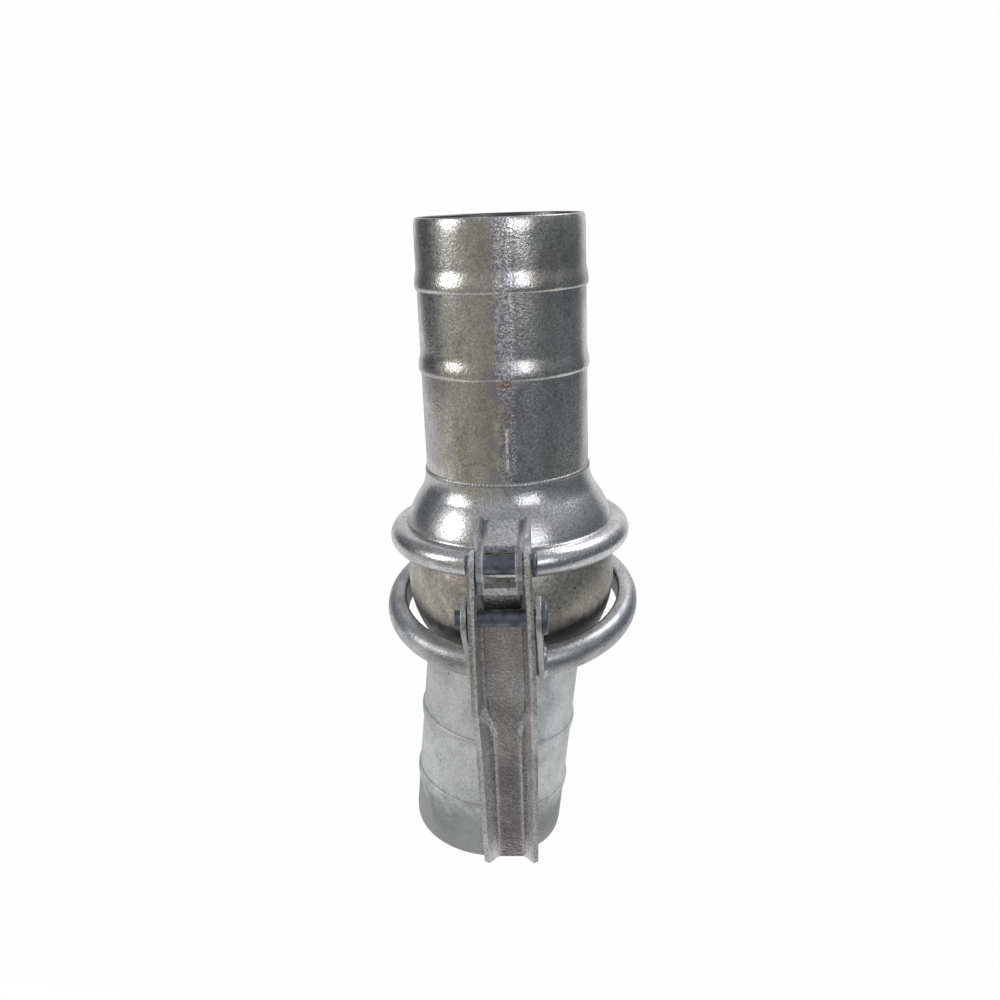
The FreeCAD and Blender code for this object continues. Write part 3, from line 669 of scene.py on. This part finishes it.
def spin(profile: Profile, axis: Axis, steps: int,
         bulge: Callable[[float, int], float] = lambda turn, index: 0.0) -> Draft:
    """Turns a closed profile into a full ring of faces.

    Args:
        profile: points (radius, height).
        axis: the axis that it turns about.
        steps: how many faces go round.
        bulge: extra radius at a share of the turn for a profile point.

    Returns:
        The mesh.
    """
    made = bmesh.new()
    matrix = axis.matrix()
    rows = []
    for step in range(steps):
        turn = step / steps
        angle = tau * turn
        row = []
        for index, (radius, height) in enumerate(profile):
            out = radius + bulge(turn, index)
            spot = Vector((out * cos(angle), out * sin(angle), height))
            row.append(made.verts.new(matrix @ spot))
        rows.append(row)
    for index, row in enumerate(rows):
        join(made, row, rows[(index + 1) % steps])
    bmesh.ops.recalc_face_normals(made, faces=made.faces)
    return made


def join(made: Draft, row: Row, after: Row) -> None:
    """Joins two closed rows of vertices with faces."""
    for corners in zip(row, (*row[1:], row[0]), (*after[1:], after[0]), after):
        made.faces.new(corners)


def copy_of(node: str) -> Draft:
    """Takes a CAD node's mesh with its seams closed and its flat faces whole.

    Args:
        node: the node's name.

    Returns:
        The mesh.
    """
    made = bmesh.new()
    made.from_mesh(frame["nodes"][node].data)
    bmesh.ops.remove_doubles(made, verts=made.verts, dist=SAME_PLACE)
    bmesh.ops.dissolve_limit(made, angle_limit=radians(FLAT_DEG), verts=made.verts, edges=made.edges)
    return made


def even_normals(mesh: bpy.types.Mesh, crease_deg: float) -> None:
    """Shades a mesh smoothly so that its large faces stay flat and its rounded edges carry the turn.

    Args:
        mesh: the mesh.
        crease_deg: faces that meet at more than this keep a hard edge.
    """
    faces_at: dict[int, list[bpy.types.MeshPolygon]] = {}
    for polygon in mesh.polygons:
        for vertex in polygon.vertices:
            faces_at.setdefault(vertex, []).append(polygon)
    limit = cos(radians(crease_deg))
    normals: list[Vector] = [Vector((0, 0, 1))] * len(mesh.loops)
    for polygon in mesh.polygons:
        own = polygon.normal.copy()
        for loop in polygon.loop_indices:
            total = Vector()
            for other in faces_at[mesh.loops[loop].vertex_index]:
                if own.dot(other.normal) > limit:
                    total += other.normal * other.area
            normals[loop] = total.normalized() if total.length > 0 else own
    mesh.normals_split_custom_set(normals)


def stand(name: str, data: bpy.types.ID) -> bpy.types.Object:
    """Puts a new object into the scene.

    Args:
        name: its name.
        data: its mesh, lamp or camera.

    Returns:
        The object.
    """
    made = bpy.data.objects.new(name, data)
    bpy.context.scene.collection.objects.link(made)
    return made


# ---- pieces ----
@dataclass
class Piece:
    """A finished mesh that stands for one CAD node and rides on its body."""

    name: str
    node: str
    body: str
    material: bpy.types.Material
    slot: str = "galvanised_steel"
    crease_deg: float = 35.0

    def publish(self, made: Draft, even: bool = False) -> None:
        """Turns the mesh into a piece of the model.

        Args:
            made: the mesh, which is used up.
            even: whether large faces keep their own direction.
        """
        mesh = bpy.data.meshes.new(self.name)
        made.to_mesh(mesh)
        made.free()
        mesh.materials.append(self.material)
        mesh.shade_smooth()
        if even:
            even_normals(mesh, self.crease_deg)
        else:
            mesh.set_sharp_from_angle(angle=radians(self.crease_deg))
        piece = stand(self.name, mesh)
        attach(piece, self.body)
        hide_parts(self.node)
        log.info("built %s: %d faces, in %s", self.name, len(mesh.polygons), self.material.name)


@dataclass
class Softened(Piece):
    """A plate, pin or pressing with its cut edges broken, as zinc leaves them."""

    edge: float = 0.0005
    steps: int = 3
    sharper_deg: float = 42.0
    hollow: float = 0.0
    hollow_steps: int = 6

    def rounded(self, made: Draft, inner: bool, size: float, steps: int) -> None:
        """Rounds the sharp edges of one kind.

        Args:
            made: the mesh.
            inner: True for inside corners, False for outside ones.
            size: how far the rounding reaches.
            steps: how many faces it has.
        """
        limit = radians(self.sharper_deg)
        sharp = [edge for edge in made.edges if len(edge.link_faces) == 2
                 and edge.calc_face_angle() > limit and (edge.calc_face_angle_signed() < 0) == inner]
        bmesh.ops.bevel(made, geom=sharp, offset=size, offset_type="OFFSET", segments=steps,
                        profile=0.5, affect="EDGES", clamp_overlap=True)

    def reshape(self, made: Draft) -> None:
        """Leaves the shape as it is; a kind of piece may refine it here."""

    def build(self) -> None:
        """Rounds the sharp edges of the CAD node."""
        made = copy_of(self.node)
        self.reshape(made)
        self.rounded(made, True, self.hollow or self.edge, self.hollow_steps if self.hollow else self.steps)
        self.rounded(made, False, self.edge, self.steps)
        bmesh.ops.dissolve_degenerate(made, dist=2 * SAME_PLACE, edges=made.edges)
        self.publish(made, even=True)


@dataclass
class LeverPressing(Softened):
    """The handle, with the lower trough's floor opened out to its full width."""

    bank: float = 0.0165
    fork_x: float = 0.0139
    fork_z: float = 0.0139
    fork_lift: float = 0.002
    slack: float = 0.0003
    end_z: float = -0.15
    end_rise: float = 0.004
    end_drop: float = 0.003
    floors: tuple[Point, ...] = (
        (-0.060, 0.0107, 0.0107), (-0.0643, 0.0100, 0.0103), (-0.0735, 0.0076, 0.0096),
        (-0.0828, 0.0051, 0.0089), (-0.092, 0.0040, 0.0084), (-0.168, 0.0030, 0.0076))

    def widths(self, z: float) -> Step:
        """Finds the floor's half width in the CAD model and here.

        Args:
            z: the height below the pin, as a negative number.

        Returns:
            Both half widths; past the last of floors they follow its slope.
        """
        runs = list(zip(self.floors, self.floors[1:]))
        (high, was, now), (low, next_was, next_now) = next((run for run in runs if z >= run[1][0]), runs[-1])
        share = (high - z) / (high - low)
        return was + (next_was - was) * share, now + (next_now - now) * share

    def reshape(self, made: Draft) -> None:
        """Lifts the floor at the fork, widens the lower floor and flattens the open end.

        Args:
            made: the mesh.
        """
        matrix = Home.LEVER.axis().matrix()
        inverse = matrix.inverted()
        for vertex in made.verts:
            spot = inverse @ vertex.co
            out = abs(spot.x)
            if abs(spot.z - self.fork_z) < self.slack and out < self.fork_x:
                spot.z += self.fork_lift
            elif spot.z <= self.floors[0][0] and out <= self.bank:
                self.open_out(spot)
            else:
                continue
            vertex.co = matrix @ spot

    def open_out(self, spot: Vector) -> None:
        """Moves one point of the lower trough.

        Args:
            spot: the point in the lever's own coordinates.
        """
        out = abs(spot.x)
        if spot.z < self.end_z:
            share = 1 - out / self.bank
            spot.y -= self.end_rise * share
            spot.z -= self.end_drop * share
        was, now = self.widths(spot.z)
        if out <= was:
            out *= now / was
        else:
            out = now + (out - was) * (self.bank - now) / (self.bank - was)
        spot.x = copysign(out, spot.x)


@dataclass
class Bead(Piece):
    """A short weld bead, lumpy along its length."""

    slot: str = "weld_steel"
    lump: float = 0.00035
    lump_size: float = 0.0022
    splits: int = 2
    longest: float = 0.001

    def build(self) -> None:
        """Refines the CAD node's bead and swells it unevenly."""
        made = copy_of(self.node)
        bmesh.ops.triangulate(made, faces=made.faces)
        for _ in range(self.splits):
            long = [edge for edge in made.edges if edge.calc_length() > self.longest]
            bmesh.ops.subdivide_edges(made, edges=long, cuts=1)
            bmesh.ops.triangulate(made, faces=made.faces)
        made.normal_update()
        for vertex in made.verts:
            vertex.co += vertex.normal * self.lump * noise.noise(vertex.co / self.lump_size)
        self.publish(made)


@dataclass
class NeckBead(Piece):
    """The rippled bead that closes a collar on its tube."""

    slot: str = "weld_steel"
    axis: Axis = LOWER_AXIS
    radius: float = 0.054
    foot: float = 0.0
    width: float = 0.0026
    stand: float = 0.0009
    side: int = 1
    sunk: float = 0.0002
    runs: int = 8
    steps: int = 900
    ripples: int = 150
    ripple: float = 0.00012

    def swell(self, turn: float, index: int) -> float:
        """Finds the extra radius that the ripples give.

        Args:
            turn: the share of the turn.
            index: the point of the section; both its ends stay plain.

        Returns:
            The extra radius.
        """
        if index in (0, self.runs + 1):
            return 0.0
        slow = noise.noise(Vector((cos(tau * turn), sin(tau * turn), 0.3)) * 4)
        return self.ripple * sin(tau * (self.ripples * turn + slow)) + self.ripple * slow

    def build(self) -> None:
        """Spins the bead with its ripples."""
        profile = [(self.radius - self.sunk, self.foot)]
        for step in range(self.runs + 1):
            share = step / self.runs
            rise = self.stand * sin(pi * (0.25 + 0.75 * share)) ** 0.8 if share < 1 else 0.0
            profile.append((self.radius + rise, self.foot + self.side * self.width * share))
        self.publish(spin(profile, self.axis, self.steps, self.swell))


@dataclass
class TailPiece(Piece):
    """A barbed hose tail, spun about its tube's axis and measured from its mouth."""

    axis: Axis = LOWER_AXIS
    mouth: float = 0.0
    side: int = 1
    length: float = 0.16
    radius: float = 0.054
    bore: float = 0.0508
    mouth_radius: float = 0.0532
    mouth_length: float = 0.009
    mouth_round: float = 0.0009
    first_step: float = 0.044
    pitch: float = 0.052
    ridges: int = 2
    swell_length: float = 0.0135
    swell: float = 0.0015
    crest: float = 0.0031
    run: float = 0.0015
    fine_run: float = 0.0002
    fine_between: Step = (-0.0006, 0.0040)
    plain_run: float = 0.002

    def rise(self, distance: float) -> float:
        """Finds how far the skin stands off the plain radius.

        Args:
            distance: how far from the mouth.

        Returns:
            The extra radius.
        """
        for index in range(self.ridges):
            before = self.first_step + index * self.pitch - distance
            if 0 <= before < self.crest:
                return self.swell * sqrt(max(0.0, 1 - (1 - before / self.crest) ** 2))
            if self.crest <= before < self.swell_length:
                share = (self.swell_length - before) / (self.swell_length - self.crest)
                return self.swell * sin(pi / 2 * share) ** 1.6
        if distance < self.mouth_length:
            share = 1 - distance / self.mouth_length
            return (self.mouth_radius - self.radius) * share * share
        return 0.0

    def profile(self) -> Profile:
        """Draws the tail's wall.

        Returns:
            The closed section (radius, distance from the mouth).
        """
        round_off = self.mouth_round
        points = arc((self.bore + round_off, round_off), round_off, 180, 270, 4)
        points += arc((self.mouth_radius - round_off, round_off), round_off, 270, 360, 4)
        places = [2 * round_off]
        after, before = self.fine_between
        while places[-1] < self.length - self.plain_run:
            steps = (self.first_step + index * self.pitch for index in range(self.ridges))
            near_crest = any(after < step - places[-1] < before for step in steps)
            places.append(places[-1] + (self.fine_run if near_crest else self.run))
        points += [(self.radius + self.rise(place), place) for place in places]
        return points + [(self.radius, self.length), (self.bore, self.length)]

    def build(self) -> None:
        """Spins the tail."""
        profile = [(radius, self.mouth + self.side * place) for radius, place in self.profile()]
        self.publish(spin(profile, self.axis, AROUND))


@dataclass
class BellPiece(Piece):
    """The socket: a spherical bell rolled out into a round rim, with a collar round the tube."""

    axis: Axis = UPPER_AXIS
    tube: float = 0.054
    radius: float = 0.0726
    wall: float = 0.003
    rise: float = 0.019
    rim_radius: float = 0.0722
    roll: float = 0.0088
    rim_height: float = 0.0312
    groove: float = 0.077
    groove_half: float = 0.005
    lip_radius: float = 0.071
    collar: float = 0.0075
    collar_wall: float = 0.0009
    flare: float = 0.0036
    roll_deg: Step = (-100, 112)
    roll_steps: int = 40
    dome_gap_deg: float = 1.5
    dome_steps: int = 28
    flare_steps: int = 8
    easings: int = 3
    lining_gap: float = 0.002
    lining_steps: int = 16

    def skin(self) -> Profile:
        """Draws the outside, with its corners eased off.

        Returns:
            The line from the rim's underside over the roll and up to the collar's end.
        """
        roll = arc((self.rim_radius, self.rim_height), self.roll, *self.roll_deg, self.roll_steps)
        start = degrees(asin((roll[-1][1] - self.rise) / self.radius)) + self.dome_gap_deg
        foot_radius = self.tube + self.flare
        end = degrees(acos(foot_radius / self.radius))
        dome = arc((0, self.rise), self.radius, start, end, self.dome_steps)
        foot, top = dome[-1], self.rise + sqrt(self.radius ** 2 - self.tube ** 2) + self.collar
        line = roll + dome
        for step in range(1, self.flare_steps + 1):
            share = step / self.flare_steps
            out = (foot[0] - self.tube - self.collar_wall) * (1 - share) ** 2.2
            line.append((self.tube + self.collar_wall + out, foot[1] + (top - foot[1]) * share ** 0.9))
        for _ in range(self.easings):
            inner = [((a[0] + 2 * b[0] + c[0]) / 4, (a[1] + 2 * b[1] + c[1]) / 4)
                     for a, b, c in zip(line, line[1:], line[2:])]
            line = [line[0], *inner, line[-1]]
        return line

    def build(self) -> None:
        """Spins the bell."""
        inside = self.radius - self.wall
        tube_end = degrees(acos(self.tube / inside))
        top = self.rim_height + self.groove_half
        low_deg = degrees(asin((top - self.rise + self.lining_gap) / inside))
        lining = arc((0, self.rise), inside, tube_end, low_deg, self.lining_steps)
        low = self.rim_height - self.groove_half
        lip = sqrt(self.lip_radius ** 2 - top ** 2)
        floor = sqrt(self.lip_radius ** 2 - low ** 2)
        groove = [(lip, top), (self.groove, top), (self.groove, low), (floor, low)]
        skin = self.skin()
        profile = skin + [(self.tube, skin[-1][1])] + lining + groove
        self.publish(spin(profile, self.axis, AROUND))


@dataclass
class RingPiece(Piece):
    """The closure ring: a bent tube, flat inside and round outside, cut square at the ears."""

    axis: Axis = RING_AXIS
    inner: float = 0.0736
    depth: float = 0.0133
    height: float = 0.0195
    flat: float = 0.005
    corner: float = 0.0022
    plane: float = -0.0105
    forward: float = 0.006
    ear_outer: float = 0.0228
    steps: int = 260
    round_steps: int = 32
    flat_steps: int = 6

    def section(self) -> Profile:
        """Draws the tube's outline.

        Returns:
            The closed section (radius, height) about the ring's own centre.
        """
        half = self.height / 2
        outer = self.depth - self.flat
        turn = self.inner + self.corner
        points = arc((turn, -half + self.corner), self.corner, 180, 270, self.flat_steps)
        for step in range(1, self.round_steps):
            angle = pi * (step / self.round_steps - 0.5)
            points.append((self.inner + self.flat + outer * cos(angle), half * sin(angle)))
        points += arc((turn, half - self.corner), self.corner, 90, 180, self.flat_steps)
        for step in range(1, self.flat_steps):
            points.append((self.inner, (half - self.corner) * (1 - 2 * step / self.flat_steps)))
        return points

    def build(self) -> None:
        """Sweeps the section from one ear round to the other."""
        made = bmesh.new()
        matrix = self.axis.matrix() @ Matrix.Translation((0, -self.forward, self.plane))
        rows = []
        for step in range(self.steps + 1):
            row = []
            for radius, height in self.section():
                start = asin(self.ear_outer / radius)
                angle = start + (tau - 2 * start) * step / self.steps
                spot = Vector((radius * sin(angle), -radius * cos(angle), height))
                row.append(made.verts.new(matrix @ spot))
            rows.append(row)
        for row, after in zip(rows, rows[1:]):
            join(made, row, after)
        made.faces.new(rows[0])
        made.faces.new(rows[-1])
        bmesh.ops.recalc_face_normals(made, faces=made.faces)
        self.publish(made)


# ---- sub-assemblies ----
@dataclass
class LowerHalf:
    """The upright hose tail with its ball."""

    body: str = "lower_half"
    ball_edge: float = 0.0003

    def build(self) -> None:
        """Builds the tail, the ball and the weld between them."""
        dull, ball, weld = TUBE_DULL.material(), BALL_ZINC.material(), WELD_ZINC.material()
        low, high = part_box("lower_hose_tail")
        TailPiece("lower_tail_tube", "lower_hose_tail", self.body, dull, length=high.z - low.z).build()
        Softened("ball_pressing", "ball_head", self.body, ball, edge=self.ball_edge).build()
        bead_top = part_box("lower_neck_weld")[1].z
        NeckBead("lower_neck_bead", "lower_neck_weld", self.body, weld, foot=bead_top, side=-1).build()


@dataclass
class UpperHalf:
    """The leaning hose tail with its socket."""

    body: str = "upper_half"

    def heights(self, node: str) -> list[float]:
        """Heights of a CAD node's vertices along the upper axis."""
        inverse = UPPER_AXIS.matrix().inverted()
        return [(inverse @ vertex.co).z for vertex in frame["nodes"][node].data.vertices]

    def build(self) -> None:
        """Builds the tail, the bell and the weld between them."""
        bright, bell, weld = TUBE_BRIGHT.material(), BELL_ZINC.material(), WELD_ZINC.material()
        tube, bead = self.heights("upper_hose_tail"), self.heights("upper_neck_weld")
        TailPiece("upper_tail_tube", "upper_hose_tail", self.body, bright, "bright_zinc_steel",
                  axis=UPPER_AXIS, mouth=max(tube), side=-1, length=max(tube) - min(tube)).build()
        BellPiece("socket_pressing", "socket_bell", self.body, bell).build()
        NeckBead("upper_neck_bead", "upper_neck_weld", self.body, weld, axis=UPPER_AXIS,
                 foot=min(bead)).build()


@dataclass
class SealRing:
    """The rubber seal in the socket's groove."""

    body: str = "seal"
    edge: float = 0.0006

    def build(self) -> None:
        """Builds the seal."""
        Softened("seal_moulding", "socket_seal", self.body, Rubber().material(), "seal_rubber",
                 edge=self.edge).build()


@dataclass
class ClosingRing:
    """The ring with its ears, claws, welds and lever pin."""

    body: str = "ring_group"
    pin_slot: str = "pin_steel"

    def build(self) -> None:
        """Builds the ring and what is welded to it."""
        ring, plate = RING_ZINC.material(), PLATE_ZINC.material()
        weld, pin = WELD_ZINC.material(), PinSteel("pin_steel_turned").material()
        RingPiece("closure_ring_tube", "closure_ring", self.body, ring).build()
        for side in ("left", "right"):
            Softened(f"{side}_ear_plate", f"{side}_ear", self.body, plate).build()
            Softened(f"{side}_claw_plate", f"{side}_rear_claw", self.body, plate).build()
            Bead(f"{side}_ear_bead", f"{side}_ear_weld", self.body, weld).build()
            Bead(f"{side}_claw_bead", f"{side}_claw_weld", self.body, weld).build()
        Softened("lever_clevis_pin", "lever_pin", self.body, pin, self.pin_slot).build()


@dataclass
class Lever:
    """The pressed handle and its hook pin."""

    body: str = "lever"
    pin_slot: str = "pin_steel"
    edge: float = 0.0009
    trough_round: float = 0.004

    def build(self) -> None:
        """Builds the handle and the pin."""
        lever, pin = LEVER_ZINC.material(), PinSteel("hook_pin_steel").material()
        LeverPressing("lever_pressing", "lever_handle", self.body, lever, crease_deg=50,
                      edge=self.edge, sharper_deg=28, hollow=self.trough_round).build()
        Softened("hook_rivet", "hook_pin", self.body, pin, self.pin_slot).build()


@dataclass
class ClaspHook:
    """The hook that draws the ring up to the rim."""

    body: str = "hook"
    edge: float = 0.0008

    def build(self) -> None:
        """Builds the hook."""
        Softened("hook_pressing", "clasp_hook", self.body, HOOK_ZINC.material(), edge=self.edge).build()


# ---- studio ----
WHITE: Colour = (1.0, 1.0, 1.0)


@dataclass(frozen=True)
class Lamp:
    """A soft lamp, facing the coupling's middle: degrees from the front and above the horizon."""

    name: str
    azimuth: float
    elevation: float
    distance: float
    width: float
    height: float
    watts: float

    def hang(self) -> None:
        """Hangs the lamp."""
        data = bpy.data.lights.new(self.name, "AREA")
        data.shape = "RECTANGLE"
        data.size, data.size_y, data.energy = self.width, self.height, self.watts
        lamp = stand(self.name, data)
        a, e = radians(self.azimuth), radians(self.elevation)
        away = Vector((sin(a) * cos(e), -cos(a) * cos(e), sin(e)))
        lamp.location = (CAD_BOX[0] + CAD_BOX[1]) / 2 + away * self.distance
        lamp.rotation_mode = "QUATERNION"
        lamp.rotation_quaternion = away.to_track_quat("Z", "Y")


LAMPS = (Lamp("lamp_left", -71, 17, 1.5, 0.36, 0.46, 5.0),
         Lamp("lamp_right", 28, 26, 1.6, 0.36, 0.46, 3.2),
         Lamp("lamp_top", 125, 56, 1.7, 0.8, 0.6, 9.0))


@dataclass(frozen=True)
class Room:
    """What the metal reflects: a quiet room, with white behind everything for the camera."""

    cool: Colour = (0.115, 0.135, 0.145)
    warm: Colour = (0.31, 0.30, 0.262)
    side: Colour = (0.05, 0.055, 0.065)
    ceiling: Colour = (0.40, 0.41, 0.43)
    floor: Colour = (0.60, 0.60, 0.60)
    wall: Colour = (0.95, 0.95, 0.95)
    mirrored_share: float = 0.03

    def build(self) -> None:
        """Builds the room as the scene's world."""
        world = bpy.data.worlds.new("studio_room")
        world.use_nodes = True
        bpy.context.scene.world = world
        shader = Shader(world.node_tree)
        direct, mirrored = shader.rays()
        x, y, z = shader.split(shader.place("Generated"))
        turn = x.bearing(0 - y)
        room = self.cool
        for share, colour in ((turn.rising(0.35, -0.25) * turn.rising(-1.75, -1.25), self.warm),
                              (turn.rising(-1.5, -1.9), self.side), (z.rising(0.05, 0.75), self.ceiling),
                              (z.rising(-0.38, -0.8), self.floor), (y.rising(0.68, 0.86), self.wall),
                              (direct.at_least(mirrored * self.mirrored_share), WHITE)):
            room = shader.mix(share, room, colour)
        glow = shader.node("Background", {"Color": room, "Strength": 1.0})
        shader.end(glow.outputs[0], "OutputWorld")


@dataclass(frozen=True)
class Paper(Finish):
    """Pale paper that keeps a soft shadow and otherwise shows as white."""

    name: str = "studio_paper"
    pale: Colour = (0.86, 0.86, 0.86)
    direct_share: float = 0.98
    mirrored_share: float = 0.62
    tooth_size: float = 0.002
    tooth_depth: float = 0.00002

    def fill(self, shader: Shader) -> None:
        """Mixes matt paper with its glow.

        Args:
            shader: the empty shader to fill.
        """
        direct, mirrored = shader.rays()
        glowing = (direct * self.direct_share).at_least(mirrored * self.mirrored_share)
        tooth = shader.noise(shader.place(), self.tooth_size, 3)
        bump = shader.bump(tooth * self.tooth_depth)
        matt = shader.node("BsdfDiffuse", {"Color": self.pale, "Normal": bump})
        glow = shader.node("Emission", {"Color": WHITE, "Strength": 1.0})
        inputs = {0: glowing, 1: matt.outputs[0], 2: glow.outputs[0]}
        shader.end(shader.node("MixShader", inputs).outputs[0])


@dataclass
class Studio:
    """Pale floor and sweep, soft lamps, and the camera."""

    half_width: float = 0.95
    front: float = -0.2
    back: float = 1.15
    wall_height: float = 2.4
    curve: float = 0.5
    curve_steps: int = 16
    eye: Point = (0.0, -0.6274, 0.4943)
    pitch_deg: float = 21.016
    yaw_deg: float = -1.08
    roll_deg: float = 4.976
    lens: float = 35.73
    sensor: float = 36.0

    def sweep(self) -> None:
        """Builds the floor and the wall behind it as one curved sheet."""
        mesh = bpy.data.meshes.new("studio_sweep")
        made = bmesh.new()
        bend = arc((self.back - self.curve, self.curve), self.curve, -90, 0, self.curve_steps)
        profile = [(self.front, 0.0), *bend, (self.back, self.wall_height)]
        sides = (-self.half_width, self.half_width)
        rows = [[made.verts.new((x, y, z)) for x in sides] for y, z in profile]
        for low, high in zip(rows, rows[1:]):
            made.faces.new((low[0], low[1], high[1], high[0])).smooth = True
        made.to_mesh(mesh)
        made.free()
        mesh.materials.append(Paper().material())
        sheet = stand("studio_sweep", mesh)

    def camera(self) -> None:
        """Places the camera."""
        data = bpy.data.cameras.new("studio_camera")
        data.lens, data.sensor_width = self.lens, self.sensor
        camera = stand("studio_camera", data)
        pitch, yaw, roll = (radians(value) for value in (self.pitch_deg, self.yaw_deg, self.roll_deg))
        right = Vector((cos(yaw), -sin(yaw), 0))
        level = Vector((sin(yaw), cos(yaw), 0))
        ahead = level * cos(pitch) - Vector((0, 0, sin(pitch)))
        above = Vector((0, 0, cos(pitch))) + level * sin(pitch)
        side = right * cos(roll) + above * sin(roll)
        top = above * cos(roll) - right * sin(roll)
        turn = Matrix((side, top, -ahead)).transposed().to_4x4()
        camera.matrix_world = Matrix.Translation(self.eye) @ turn
        bpy.context.scene.camera = camera

    def build(self) -> None:
        """Builds the whole studio."""
        self.sweep()
        Room().build()
        for lamp in LAMPS:
            lamp.hang()
        self.camera()
        bpy.context.scene.view_settings.view_transform = "Standard"
        log.info("studio ready")


def main() -> None:
    """Builds the sub-assemblies in order, then the studio."""
    logging.basicConfig(level=logging.INFO, format="%(message)s")
    for assembly in (LowerHalf(), SealRing(), UpperHalf(), ClosingRing(), Lever(), ClaspHook(), Studio()):
        assembly.build()


if __name__ == "__main__":
    main()
